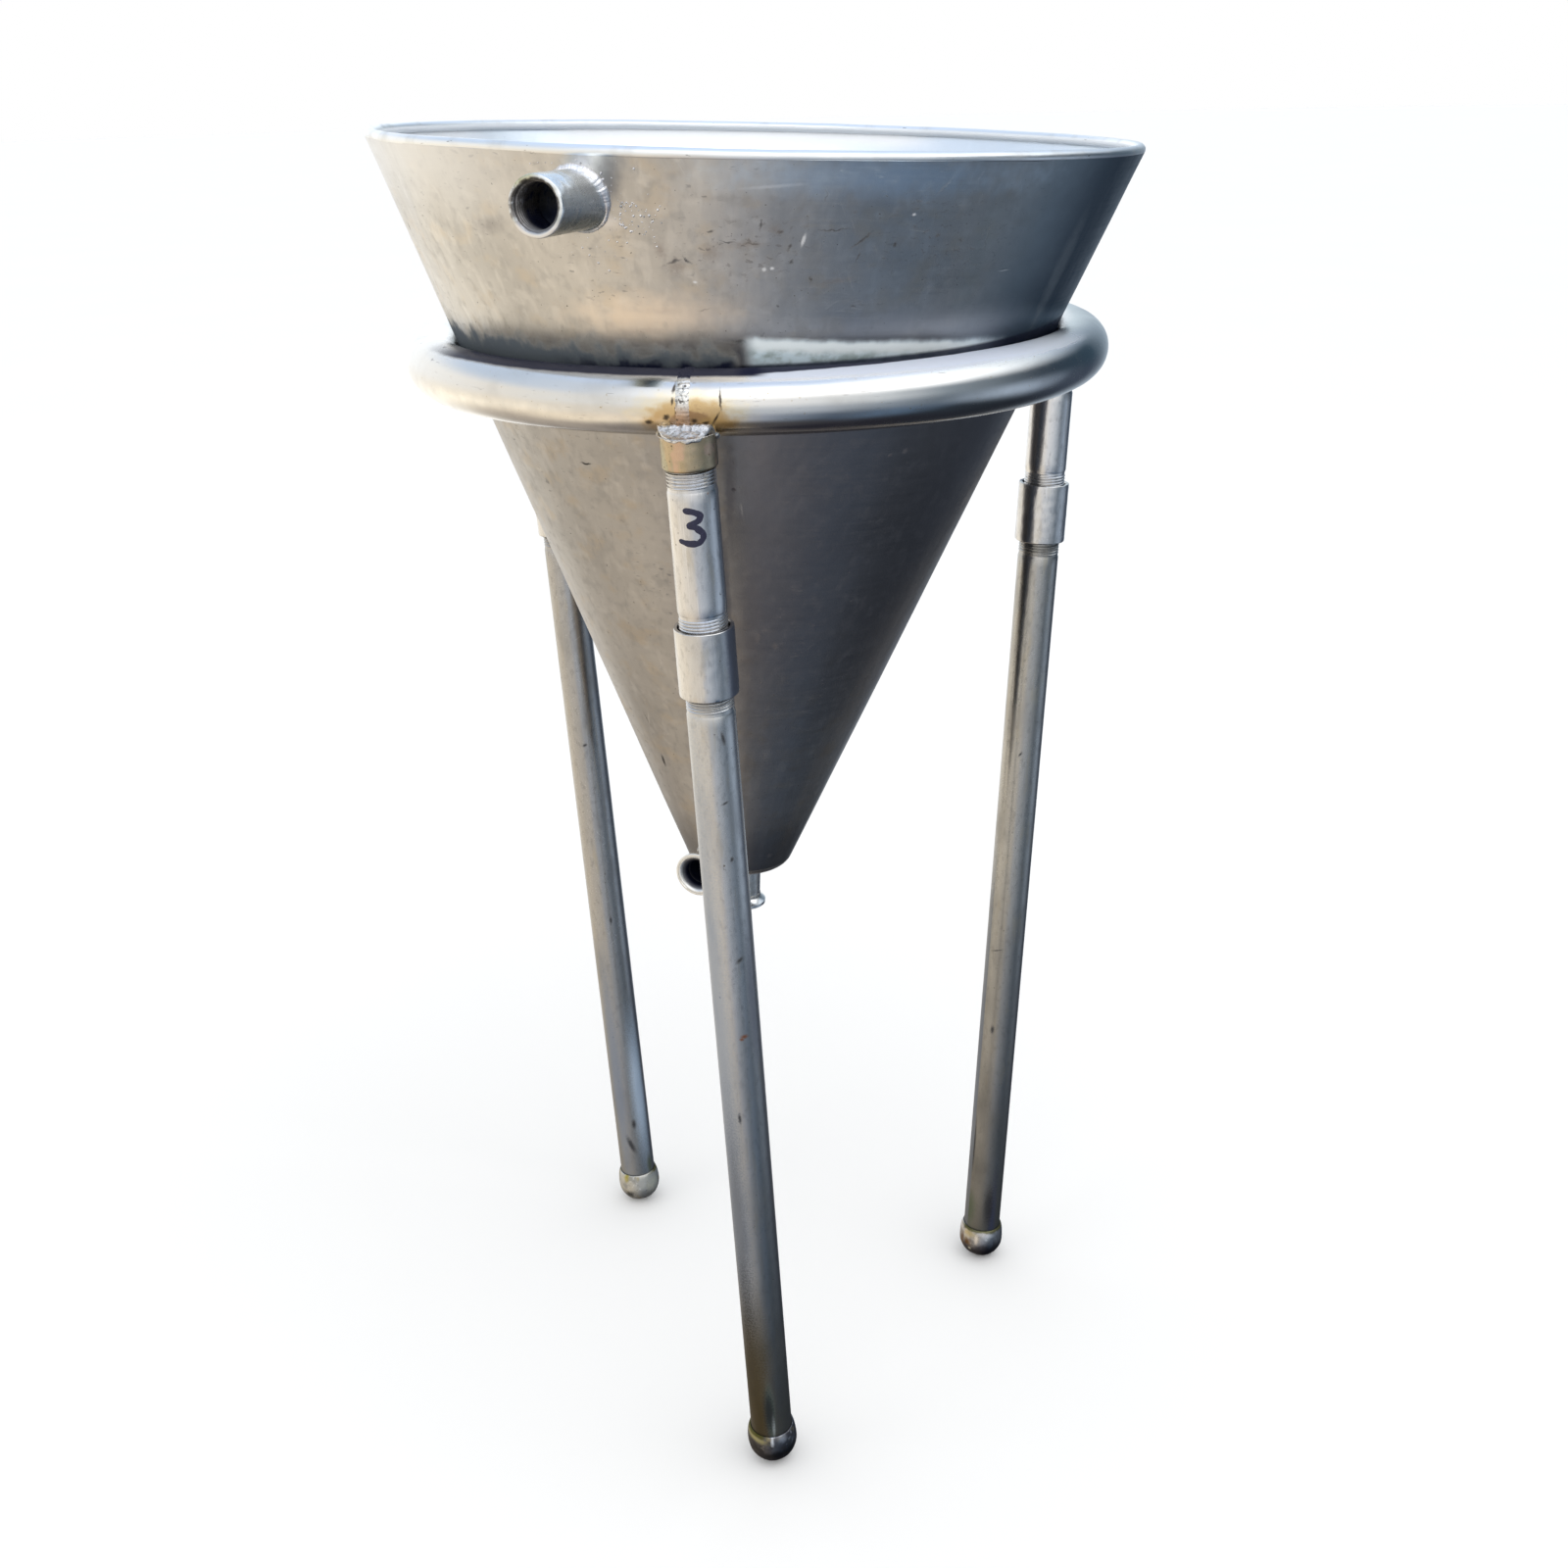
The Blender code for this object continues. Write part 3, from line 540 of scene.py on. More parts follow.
def wall_ahead(place, radius, turn):
    """How far back from a mouth a line beside its axis meets the outside of the wall."""
    into = vessel.inverted() @ place
    start = into @ Vector((radius * math.cos(turn), radius * math.sin(turn), 0))
    way = into.to_3x3() @ Vector((0, 0, -1))
    here = WALL_AT_RING + WALL_SLOPE * start.z
    a = way.x ** 2 + way.y ** 2 - (WALL_SLOPE * way.z) ** 2
    b = 2 * (start.x * way.x + start.y * way.y - WALL_SLOPE * way.z * here)
    c = start.x ** 2 + start.y ** 2 - here ** 2
    return -(-b - math.sqrt(b * b - 4 * a * c)) / (2 * a)


def branch(place, outline, steps):
    """A turned tube that ends in a saddle on the wall. An outline point with no height lies there."""
    rows = []
    for radius, height in outline:
        row = []
        for turn in np.linspace(0, math.tau, steps, endpoint=False):
            level = wall_ahead(place, radius, turn) + 0.0003 if height is None else height
            row.append((radius * math.cos(turn), radius * math.sin(turn), level))
        rows.append(row)
    return skin(np.array(rows))


def bead(corners, size, pitch, steps, sides=14, rippled=0.16, lumps=0.20):
    """A laid weld. Each corner holds its place and the directions out of both joined faces."""
    places = np.array([[*corner[0]] for corner in corners])
    lengths = np.concatenate([[0], np.cumsum(np.linalg.norm(np.roll(places, -1, 0) - places, axis=1))])
    rows = []
    for i in range(sides):
        swing = math.tau * i / sides
        row = []
        for step in range(steps):
            share = step / steps * len(corners)
            j = int(share) % len(corners)
            k = (j + 1) % len(corners)
            place, one, two = [corners[j][n].lerp(corners[k][n], share - int(share)) for n in range(3)]
            run = lengths[-1] * step / steps
            ripple = abs(math.sin(math.pi * run / pitch)) ** 0.6
            lump = noise.noise(place * 260) + 0.6 * noise.noise(place * 900)
            reach = size * (0.86 + rippled * ripple + lumps * lump)
            ahead, aside = math.cos(swing), math.sin(swing)
            row.append(place + one * reach * (ahead if ahead > 0 else ahead * 0.5)
                       + two * reach * (aside if aside > 0 else aside * 0.5))
        rows.append(row)
    return skin(np.array(rows))


def joined(*meshes):
    """Several meshes as one, for metal that is one piece or carries the same name."""
    whole = bmesh.new()
    for mesh in meshes:
        whole.from_mesh(mesh)
        bpy.data.meshes.remove(mesh)
    bmesh.ops.recalc_face_normals(whole, faces=whole.faces)
    made = bpy.data.meshes.new("joined")
    whole.to_mesh(made)
    whole.free()
    return made


def saddle_corners(place, radius, count):
    """Where a level branch meets the wall, with the directions out of the wall and the branch."""
    corners = []
    for turn in np.linspace(0, math.tau, count, endpoint=False):
        rim = Vector((radius * math.cos(turn), radius * math.sin(turn), wall_ahead(place, radius, turn)))
        out = (place.to_3x3() @ Vector((math.cos(turn), math.sin(turn), 0))).normalized()
        spot = place @ rim
        local = vessel.inverted() @ spot
        wall_out = Vector((local.x, local.y, -WALL_SLOPE * Vector((local.x, local.y)).length)).normalized()
        corners.append((spot, vessel.to_3x3() @ wall_out, out))
    return corners


def ridge(low, high, crest, depth, pitch, inside=False):
    """A screw thread's ridge, wound on between two heights and faded out at both ends."""
    steps = 96
    count = int((high - low) / pitch * steps)
    foot, side = (crest - depth, 1) if not inside else (crest + depth, -1)
    section = [(-0.46, -0.25), (-0.46, 0), (-0.11, 1), (0.11, 1), (0.46, 0), (0.46, -0.25)]
    rows = []
    for i in range(count + 1):
        turn = math.tau * i / steps
        fade = min(1, i / (steps * 0.4), (count - i) / (steps * 0.4))
        row = []
        for along, out in section:
            radius = foot + side * depth * (out * fade if out > 0 else out)
            level = low + pitch * i / steps + pitch * along * max(fade, 0.05)
            row.append((radius * math.cos(turn), radius * math.sin(turn), level))
        rows.append(row)
    mesh = skin(np.array(rows), closed=False)
    ends = bmesh.new()
    ends.from_mesh(mesh)
    bmesh.ops.holes_fill(ends, edges=ends.edges)
    bmesh.ops.recalc_face_normals(ends, faces=ends.faces)
    ends.to_mesh(mesh)
    ends.free()
    return mesh


def fitting(name, colour, roughness, grime, knocks=0.00012):
    """Turned or drawn stainless: fine lines, knocks, grey-brown grime in the low spots."""
    made = Finish(name, colour, roughness)
    cloud = made.noise(0.009, detail=6)
    made.stain(made.band(cloud, 0.44, 0.70), tuple(c * 0.68 for c in colour), grime, 0.14)
    made.stain(made.band(made.noise(0.004, detail=3, shift=6), 0.56, 0.76), (0.30, 0.26, 0.18),
               grime * 0.6, 0.1)
    lines = made.noise(0.0009, (1, 1, 30), 2)
    made.stain(made.band(lines, 0.60, 0.78), tuple(min(1, c * 1.25) for c in colour), 0.5)
    made.shape(lines, 0.00002)
    made.shape(made.noise(0.0035, detail=4, shift=3), knocks)
    specks = made.band(made.noise(0.0013, detail=1, shift=8), 0.72, 0.78)
    made.stain(specks, (0.05, 0.045, 0.04), 0.7, 0.3)
    return made


def darkened_bore(made, outside, inside, mouth, deep):
    """Old product and painted shade in a bore: brown-grey product from its mouth on, and painted shade,
    almost black, deep inside.
    """
    wide, _, _, depth = made.from_axis()
    bore = made.band(wide, outside, inside)
    made.stain(made.times(bore, made.band(depth, mouth, mouth - 0.006)), (0.17, 0.155, 0.15), 0.85, 0.2)
    made.stain(made.times(bore, made.band(depth, deep + 0.010, deep)), (0.010, 0.012, 0.030), 1.0, 0.3)


def weld_metal(name, colour, roughness):
    """Bare weld: rippled, dull, with dark oxide between the ripples and bright crests."""
    made = Finish(name, colour, roughness)
    cloud = made.noise(0.0022, detail=4)
    made.stain(made.band(cloud, 0.50, 0.66), tuple(c * 0.42 for c in colour), 0.8, 0.15)
    made.stain(made.band(made.noise(0.0045, detail=2, shift=2), 0.60, 0.72), (0.46, 0.36, 0.20), 0.35)
    made.stain(made.band(made.noise(0.0011, detail=1, shift=5), 0.66, 0.74), (0.95, 0.94, 0.92), 0.8, -0.12)
    made.shape(made.noise(0.0013, detail=4, shift=1), 0.00035)
    return made


def knocked(mesh, amount, size):
    """Move every point a little, as knocks and rough turning leave a surface."""
    for vertex in mesh.vertices:
        at = vertex.co / size
        vertex.co += amount * Vector((noise.noise(at), noise.noise(at + Vector((31, 0, 0))),
                                      noise.noise(at + Vector((0, 47, 0)))))
    return mesh


inlet_outline = [(INLET_BORE + 0.0009, None), (INLET_OUTER, None)] + [
    (INLET_OUTER, h) for h in np.linspace(-0.026, -0.0012, 22)] + [
    (INLET_OUTER - 0.0003, -0.0005), (INLET_OUTER - 0.0010, -0.0001), (INLET_OUTER - 0.0020, 0),
    (INLET_BORE + 0.0022, 0), (INLET_BORE + 0.0016, -0.0003)] + [
    (INLET_BORE + 0.0009, h) for h in np.linspace(-0.0012, -0.026, 20)]
socket_mesh = knocked(branch(inlet_place, inlet_outline, 120), 0.00022, 0.0045)
inlet_mesh = joined(socket_mesh, ridge(-0.030, -0.0016, INLET_BORE - 0.0002, 0.0011, 0.0023, inside=True))
inlet_finish = fitting("turned_socket", (0.78, 0.81, 0.82), 0.25, 0.45, 0.00004)
reach, aside, upward, depth = inlet_finish.from_axis()
near_mouth = inlet_finish.band(depth, -0.006, -0.001)
# Painted shade: the socket darker on its underside.
inlet_finish.stain(inlet_finish.band(upward, -0.001, -0.013), (0.22, 0.27, 0.265), 0.82)
blotches = inlet_finish.band(inlet_finish.noise(0.0045, detail=3), 0.40, 0.55)
left = inlet_finish.band(aside, -0.004, -0.011)
mottled = inlet_finish.times(near_mouth, inlet_finish.times(left, blotches))
inlet_finish.stain(mottled, (0.24, 0.22, 0.21), 0.8, 0.1)
upper_left = inlet_finish.times(inlet_finish.band(upward, 0.009, 0.014),
                                inlet_finish.band(aside, 0.004, -0.003))
olive = inlet_finish.times(near_mouth, upper_left)
inlet_finish.stain(olive, (0.46, 0.44, 0.24), 0.7)
rub_and_reflection = inlet_finish.times(inlet_finish.band(upward, -0.006, -0.012),
                            inlet_finish.band(depth, -0.004, -0.001))
inlet_finish.stain(rub_and_reflection, (0.92, 0.91, 0.92), 0.8, 0.1)
# Painted shade in patches on the upper inside of the bore, under the socket's top.
shade_patches = inlet_finish.band(inlet_finish.noise(0.0050, detail=4, shift=8), 0.36, 0.52)
upper_bore = inlet_finish.times(inlet_finish.band(reach, 0.0170, 0.0160),
                                inlet_finish.band(upward, -0.009, 0.002))
bore_shade = inlet_finish.times(upper_bore, shade_patches)
darkened_bore(inlet_finish, 0.0166, 0.0157, 0.003, -0.014)
inlet_finish.stain(bore_shade, (0.10, 0.092, 0.084), 0.85, 0.2)
piece("inlet", inlet_mesh, inlet_finish.done(), "fitting_steel", "inlet_socket", place=inlet_place)

bright_weld = weld_metal("bright_weld", (0.84, 0.83, 0.85), 0.42).done()
inlet_weld = weld_metal("inlet_weld_metal", (0.80, 0.79, 0.80), 0.40)
x, _, z = inlet_weld.add("SeparateXYZ", inlet_weld.where).outputs[:3]
slant = inlet_weld.sum("MULTIPLY_ADD", x, 0.7, inlet_weld.times(z, 0.7))
INLET_WELD_X = -0.1223
middle = 0.7 * (INLET_MOUTH[2] + INLET_WELD_X)
# Painted highlight on the weld's upper side, and painted shade as a dull darker film on its lower side.
inlet_weld.stain(inlet_weld.band(slant, middle + 0.006, middle + 0.013), (0.97, 0.97, 1.0), 0.8)
inlet_weld.stain(inlet_weld.band(slant, middle + 0.008, middle - 0.004), (0.30, 0.29, 0.28), 0.85, 0.2, 0.5)
inlet_corners = []
for spot, wall_way, socket_way in saddle_corners(inlet_place, INLET_OUTER, 72):
    fuller = 1.0 - 0.45 * min(1, max(0, (1.016 - spot.z) / 0.012))
    inlet_corners.append((spot, wall_way * fuller, socket_way * fuller))
piece("inlet_weld", bead(inlet_corners, 0.0042, 0.0040, 620, rippled=0.03, lumps=0.14),
      inlet_weld.done(), "fitting_steel")


def droplets(spots):
    """Drops of weld metal: flattened beads on a surface, each with its place, direction and size."""
    drops = bmesh.new()
    for place, out, size in spots:
        lie = Matrix.Translation(place) @ out.to_track_quat("Z", "Y").to_matrix().to_4x4()
        bmesh.ops.create_icosphere(drops, subdivisions=2, radius=size,
                                   matrix=lie @ Matrix.Diagonal((1, 1, 0.6, 1)))
    mesh = bpy.data.meshes.new("droplets")
    drops.to_mesh(mesh)
    drops.free()
    return mesh


EVEN_STEPS = (0.618034, 0.754877, 0.569840)


def scattered(count, near, spread, seed):
    """Directions and distances that look thrown by hand, the same each time."""
    for i in range(count):
        turn = math.tau * ((i * EVEN_STEPS[0] + seed) % 1)
        reach = near + spread * ((i * EVEN_STEPS[1] + seed * 3) % 1) ** 1.7
        yield turn, reach, 0.0003 + 0.0006 * ((i * EVEN_STEPS[2]) % 1) ** 2


inlet_spots = []
thrown = list(scattered(80, 0.0225, 0.024, 0.13))
thrown += [(-0.32 + 0.26 * math.sin(turn), reach, size * 1.1)
           for turn, reach, size in scattered(60, 0.027, 0.026, 0.41)]
for turn, reach, size in thrown:
    spot = inlet_place @ Vector((reach * math.cos(turn), reach * math.sin(turn),
                                 wall_ahead(inlet_place, reach, turn)))
    local = vessel.inverted() @ spot
    if local.z < UPPER_EDGE - 0.002:
        away = Vector((local.x, local.y, -WALL_SLOPE * Vector((local.x, local.y)).length)).normalized()
        inlet_spots.append((spot, vessel.to_3x3() @ away, size))
piece("inlet_spatter", droplets(inlet_spots), bright_weld, "fitting_steel")


# The side outlet, level out of the cone's narrow end, and the drain under the dish. Both
# are short lengths of 26.9 mm stainless pipe with a flared clamp ferrule welded on; the
# ferrule's lip is faced flat and polished by its gasket.

OUTLET, OUTLET_BORE = 0.01345, 0.0108
FERRULE, LIP, THROAT = 0.0082, 0.0182, 0.0150


def ferrule_mesh():
    lip = [(LIP, h) for h in (-0.0027, -0.0015, -0.0004)] + [(0.0179, -0.0001), (0.0175, 0)]
    flare = [(OUTLET + (LIP - OUTLET) * s ** 1.6, -FERRULE + 0.0052 * s) for s in np.linspace(0, 1, 9)]
    mouth = [(0.0166, 0), (0.0162, -0.0006), (0.0156, -0.0006), (0.0152, 0), (THROAT, -0.0001)]
    throat = [(OUTLET_BORE + (THROAT - OUTLET_BORE) * (1 - s) ** 1.4, -0.0042 * s)
              for s in np.linspace(0.08, 1, 9)]
    return lathe([(OUTLET_BORE, -FERRULE)] + flare + lip + mouth + throat, 128)


def ground_ring(radius, level, wide, high, steps=180):
    """A narrow weld round a pipe, ground nearly flush."""
    rows = []
    section = [(-0.5, -0.4), (-0.5, 0.0), (-0.3, 0.75), (0, 1.0), (0.3, 0.75), (0.5, 0.0), (0.5, -0.4)]
    for along, out in section:
        row = []
        for turn in np.linspace(0, math.tau, steps, endpoint=False):
            spot = Vector((math.cos(turn), math.sin(turn), 0))
            lump = 1 + 0.5 * noise.noise(spot * 9 + Vector((0, 0, along))) + 0.3 * noise.noise(spot * 30)
            reach = radius + high * out * (lump if out > 0 else 1)
            edge = along + 0.12 * noise.noise(spot * 14)
            row.append((reach * spot.x, reach * spot.y, level + wide * edge))
        rows.append(row)
    return skin(np.array(rows))


outlet_finish = fitting("drawn_pipe", (0.56, 0.55, 0.53), 0.27, 0.7)
darkened_bore(outlet_finish, 0.0119, 0.0112, 0.002, -0.012)
outlet_finish = outlet_finish.done()
lip_finish = fitting("clamp_lip", (0.76, 0.76, 0.75), 0.20, 0.4)
darkened_bore(lip_finish, 0.0146, 0.0128, 0.001, -0.005)
lip_finish = lip_finish.done()
dull_weld = weld_metal("dull_weld", (0.50, 0.485, 0.46), 0.48).done()
pipe_end = -FERRULE - 0.0003
side_pipe = branch(side_place, [(OUTLET_BORE, None), (OUTLET, None)] + [
    (OUTLET, h) for h in np.linspace(-0.024, pipe_end, 10)] + [
    (OUTLET_BORE, h) for h in np.linspace(pipe_end, -0.024, 10)], 96)
piece("side_pipe", side_pipe, outlet_finish, "fitting_steel", "side_outlet_pipe", place=side_place)
piece("side_ferrule", ferrule_mesh(), lip_finish, "fitting_steel", "side_outlet_ferrule", place=side_place)
piece("side_weld", bead(saddle_corners(side_place, OUTLET, 60), 0.0030, 0.0021, 460), dull_weld,
      "fitting_steel")
piece("side_ferrule_weld", ground_ring(OUTLET, pipe_end, 0.0030, 0.0004), dull_weld, "fitting_steel",
      place=side_place)

drain_pipe = lathe([(OUTLET_BORE, -0.0392)] + [(OUTLET, h) for h in np.linspace(-0.0392, pipe_end, 14)]
                   + [(OUTLET_BORE, h) for h in np.linspace(pipe_end, -0.0392, 14)[:-1]], 96)
drain_corners = []
for turn in np.linspace(0, math.tau, 60, endpoint=False):
    out = Vector((math.cos(turn), math.sin(turn), 0))
    drain_corners.append((drain_place @ (out * OUTLET + Vector((0, 0, -0.0394))),
                          (drain_place.to_3x3() @ Vector((0, 0, 1))).normalized(),
                          (drain_place.to_3x3() @ out).normalized()))
piece("drain_pipe", drain_pipe, outlet_finish, "fitting_steel", "bottom_outlet_pipe", place=drain_place)
piece("drain_ferrule", ferrule_mesh(), lip_finish, "fitting_steel", "bottom_outlet_ferrule",
      place=drain_place)
piece("drain_weld", bead(drain_corners, 0.0026, 0.0021, 420), dull_weld, "fitting_steel")
piece("drain_ferrule_weld", ground_ring(OUTLET, pipe_end, 0.0030, 0.0004), dull_weld, "fitting_steel",
      place=drain_place)


# The ring that the vessel hangs in: 42.4 mm stainless tube, bent in three arcs, butt welded
# over each leg and polished. The heat of welding has left straw and brown bands by the
# joints, and the rest carries small flecks and wipe marks.

RING_RADIUS, RING_TUBE, RING_WALL = 0.2435, 0.0212, 0.0026
ring_centre = Vector((-0.0022, 0.0108, RING_HEIGHT))
ring_place = Matrix.Translation(ring_centre)
LEG_TOPS = {"front": -101.0, "right": 17.0, "back": 137.0}


def bent_tube(start, end):
    """A length of the ring with its bore, open at both ends as a sawn tube is."""
    turns = np.linspace(math.radians(start) + 0.0007, math.radians(end) - 0.0007, int((end - start) / 1.1))
    swings = np.linspace(0, math.tau, 72, endpoint=False)
    rows = []
    for radius, order in ((RING_TUBE, turns[::-1]), (RING_TUBE - RING_WALL, turns)):
        for turn in order:
            way = Vector((math.cos(turn), math.sin(turn), 0))
            row = []
            for swing in swings:
                side = way * math.cos(swing) + Vector((0, 0, math.sin(swing)))
                stray = 0.00010 * noise.noise(way * 7 + side * 1.3)
                stray += 0.00004 * noise.noise(way * 40 + side * 3)
                row.append(way * RING_RADIUS + side * (radius + stray))
            rows.append(row)
    return skin(np.array(rows))


ring_finish = Finish("polished_tube", (0.71, 0.70, 0.68), 0.15)
ring_finish.stain(ring_finish.band(ring_finish.noise(0.03, detail=5), 0.46, 0.74),
                  (0.58, 0.56, 0.53), 0.5, 0.09)
ring_finish.stain(ring_finish.band(ring_finish.noise(0.0019, detail=1, shift=4), 0.735, 0.785),
                  (0.42, 0.33, 0.16), 0.8, 0.2)
ring_finish.stain(ring_finish.band(ring_finish.noise(0.0010, (10, 10, 1), 1, shift=9), 0.71, 0.78),
                  (0.25, 0.24, 0.23), 0.5, 0.15)
ring_finish.shape(ring_finish.noise(0.0016, (8, 8, 1), 2, shift=2), 0.00001)
round_ring = ring_finish.unrolled()
hot = ring_finish.nearest(round_ring, [(d + 1.0, -0.0075, 0.074, 0.036, 0) for d in LEG_TOPS.values()])
hot = ring_finish.sum("MULTIPLY_ADD", ring_finish.noise(0.008, (1, 1, 0.7), 4, shift=6), 0.7, hot)
ring_finish.stain(ring_finish.band(hot, 1.60, 1.05), (0.82, 0.72, 0.50), 0.7)
ring_finish.stain(ring_finish.band(hot, 1.22, 0.86), (0.60, 0.40, 0.17), 0.8, 0.04)
ring_finish.stain(ring_finish.band(hot, 0.78, 0.60), (0.26, 0.14, 0.08), 0.7, 0.08)
golden = ring_finish.marks(round_ring, [
    (-96.4, -0.0105, 0.030, 0.013, 0), (-105.8, -0.0110, 0.014, 0.010, 0)], ragged=0.7, size=0.004)
ring_finish.stain(golden, (0.56, 0.37, 0.14), 0.75, 0.04)
# Painted highlight: a long pale stripe low on the tube at the left.
ring_finish.stain(ring_finish.marks(round_ring, [(-137, -0.0135, 0.260, 0.020, 0)], ragged=0.9, size=0.01),
                  (1.0, 0.98, 0.93), 0.9)
# Painted shade: a dark navy strip on the tube's upper inner side against the wall, at the left of the front
# leg and as a thin line at its right.
across, _, _, z = ring_finish.from_axis()
aside = ring_finish.add("SeparateXYZ", round_ring).outputs[0]
across = ring_finish.sum("MULTIPLY_ADD", ring_finish.noise(0.012, detail=5, shift=31), 0.0016, across)
ring_crease_shade = ring_finish.times(ring_finish.band(across, RING_RADIUS + 0.0136, RING_RADIUS + 0.0106),
                          ring_finish.band(z, 0.010, 0.014))
ring_crease_shade = ring_finish.times(ring_crease_shade, ring_finish.between(aside, -0.300, -0.235, -0.006, 0.006))
# Painted reflection: a pale lavender film over the tube's top at the right.
pale_top_reflection = ring_finish.times(ring_finish.band(across, RING_RADIUS + 0.0165, RING_RADIUS + 0.0130),
                             ring_finish.times(ring_finish.band(z, 0.002, 0.010),
                                               ring_finish.between(aside, -0.014, -0.002, 0.22, 0.30)))
ring_finish.stain(pale_top_reflection, (0.64, 0.69, 0.80), 0.95, 0.3, 0.85)
narrowing = ring_finish.sum("MULTIPLY_ADD", aside, 0.067, across)
dark_line = ring_finish.times(ring_finish.band(narrowing, RING_RADIUS + 0.0108, RING_RADIUS + 0.0088),
                              ring_finish.times(ring_finish.between(aside, -0.020, -0.010, 0.13, 0.18),
                                                ring_finish.band(z, 0.010, 0.014)))
for share in (ring_crease_shade, dark_line):
    ring_finish.stain(share, (0.012, 0.014, 0.035), 0.97, 0.2, 0.92)
# Painted shade: the ring darker at the right.
ring_finish.stain(ring_finish.between(aside, 0.15, 0.26, 0.38, 0.60), (0.42, 0.45, 0.47), 0.7)
burns_and_shade = ring_finish.marks(ring_finish.wandering(round_ring, 0.004, 0.0007), [
    (-95.7, 0.0050, 0.0018, 0.014, 4), (-96.4, -0.0065, 0.0017, 0.011, -28),
    (-105.9, -0.0095, 0.0055, 0.004, 0), (-103.3, -0.0060, 0.0055, 0.004, 20),
    (-101.7, -0.0030, 0.0035, 0.005, 0), (-99.4, -0.0080, 0.005, 0.0035, 0),
    (-97.9, -0.0095, 0.006, 0.003, 15), (-102.2, 0.0120, 0.0020, 0.007, -10),
    (-100.2, 0.0150, 0.0018, 0.006, 8), (-102.4, 0.0040, 0.0018, 0.005, 0),
    (21.0, -0.0040, 0.0020, 0.012, 20), (12.5, -0.0100, 0.005, 0.003, 0),
    (133.5, -0.0050, 0.0020, 0.012, -15), (141.0, -0.0100, 0.005, 0.003, 0)])
ring_finish.stain(burns_and_shade, (0.045, 0.032, 0.026), 0.88, 0.35)
ring_finish = ring_finish.done()
LEG_AFTER = {"front": "right", "right": "back", "back": "front"}
for side, following in LEG_AFTER.items():
    name, start = f"{side}_{following}", LEG_TOPS[side]
    end = start + (LEG_TOPS[following] - start) % 360
    piece(f"ring_{name}", bent_tube(start, end), ring_finish, "bright_steel", f"ring_arc_{name}",
          place=ring_place)


def butt_weld(direction):
    """A rough weld all round the tube, roughly ground on the outside."""
    way = Vector((math.cos(math.radians(direction)), math.sin(math.radians(direction)), 0))
    along = Vector((-way.y, way.x, 0))
    rows = []
    section = [(-1, -0.5), (-1, 0.05), (-0.65, 0.7), (-0.25, 1),
               (0.25, 1), (0.65, 0.7), (1, 0.05), (1, -0.5)]
    for across, out in section:
        row = []
        for swing in np.linspace(0, math.tau, 260, endpoint=False):
            side = way * math.cos(swing) + Vector((0, 0, math.sin(swing)))
            lump = noise.noise(side * 7 + way * 3) + 0.8 * noise.noise(side * 24 + along * across)
            high = 0.0006 * out * (1 + 0.9 * lump) if out > 0 else 0.0010 * out
            wide = 0.0044 * across * (1 + 0.22 * noise.noise(side * 11 + along * across * 2))
            row.append(way * RING_RADIUS + side * (RING_TUBE + high) + along * wide)
        rows.append(row)
    return skin(np.array(rows))


butt_finish = weld_metal("ground_weld", (0.74, 0.73, 0.70), 0.34)
level = butt_finish.sum("MULTIPLY_ADD", butt_finish.noise(0.004, detail=3, shift=7), 0.008,
                        butt_finish.add("SeparateXYZ", butt_finish.where).outputs[2])
butt_finish.stain(butt_finish.band(level, 0.010, -0.003), (0.44, 0.24, 0.11), 0.80, 0.1)
butt_finish.stain(butt_finish.band(butt_finish.noise(0.0028, detail=3, shift=13), 0.60, 0.66),
                  (0.06, 0.045, 0.04), 0.8, 0.2)
# Painted shade: the dark strip on the ring's upper inner side runs on over the front weld.
across, _, y, z = butt_finish.from_axis()
ring_crease_shade = butt_finish.times(butt_finish.band(across, RING_RADIUS + 0.0140, RING_RADIUS + 0.0118),
                          butt_finish.times(butt_finish.band(z, 0.010, 0.014),
                                            butt_finish.band(y, -0.15, -0.20)))
butt_finish.stain(ring_crease_shade, (0.012, 0.014, 0.035), 0.97, 0.2, 0.92)
butt_finish = butt_finish.done()
for side, direction in LEG_TOPS.items():
    piece(f"{side}_ring_weld", butt_weld(direction), butt_finish, "bright_steel", place=ring_place)


# The sockets under the ring: short threaded half couplings, coped to the tube and welded
# to it all round. The heat has turned them straw to brown, darkest at the lower edge.

SOCKET, THREAD, PIPE, PIPE_BORE = 0.0184, 0.0163, 0.01685, 0.0136
SOCKET_BORE = 0.0166
LEG_TOP_REACH, LEG_FOOT_REACH = 0.2555, 0.2056
SOCKET_LOW = 0.8437
LEG_FEET = {"front": -92.0, "right": 14.5, "back": 131.0}
COUPLINGS = {"front": 0.7095, "right": 0.728, "back": 0.719}


def leg_of(side):
    """A leg's place, with Z up along the pipe, and its length for each metre of height."""
    ways = [Vector((math.cos(math.radians(d)), math.sin(math.radians(d)), 0))
            for d in (LEG_TOPS[side], LEG_FEET[side])]
    middle = Vector((ring_centre.x, ring_centre.y, 0))
    top = middle + LEG_TOP_REACH * ways[0] + Vector((0, 0, ring_centre.z))
    foot = middle + LEG_FOOT_REACH * ways[1]
    turn = (top - foot).to_track_quat("Z", "Y").to_matrix().to_4x4()
    return Matrix.Translation(foot) @ turn, (top - foot).length / ring_centre.z


def off_ring(spot):
    """How far a place is from the outside of the ring's tube."""
    local = spot - ring_centre
    return math.hypot(Vector((local.x, local.y)).length - RING_RADIUS, local.z) - RING_TUBE


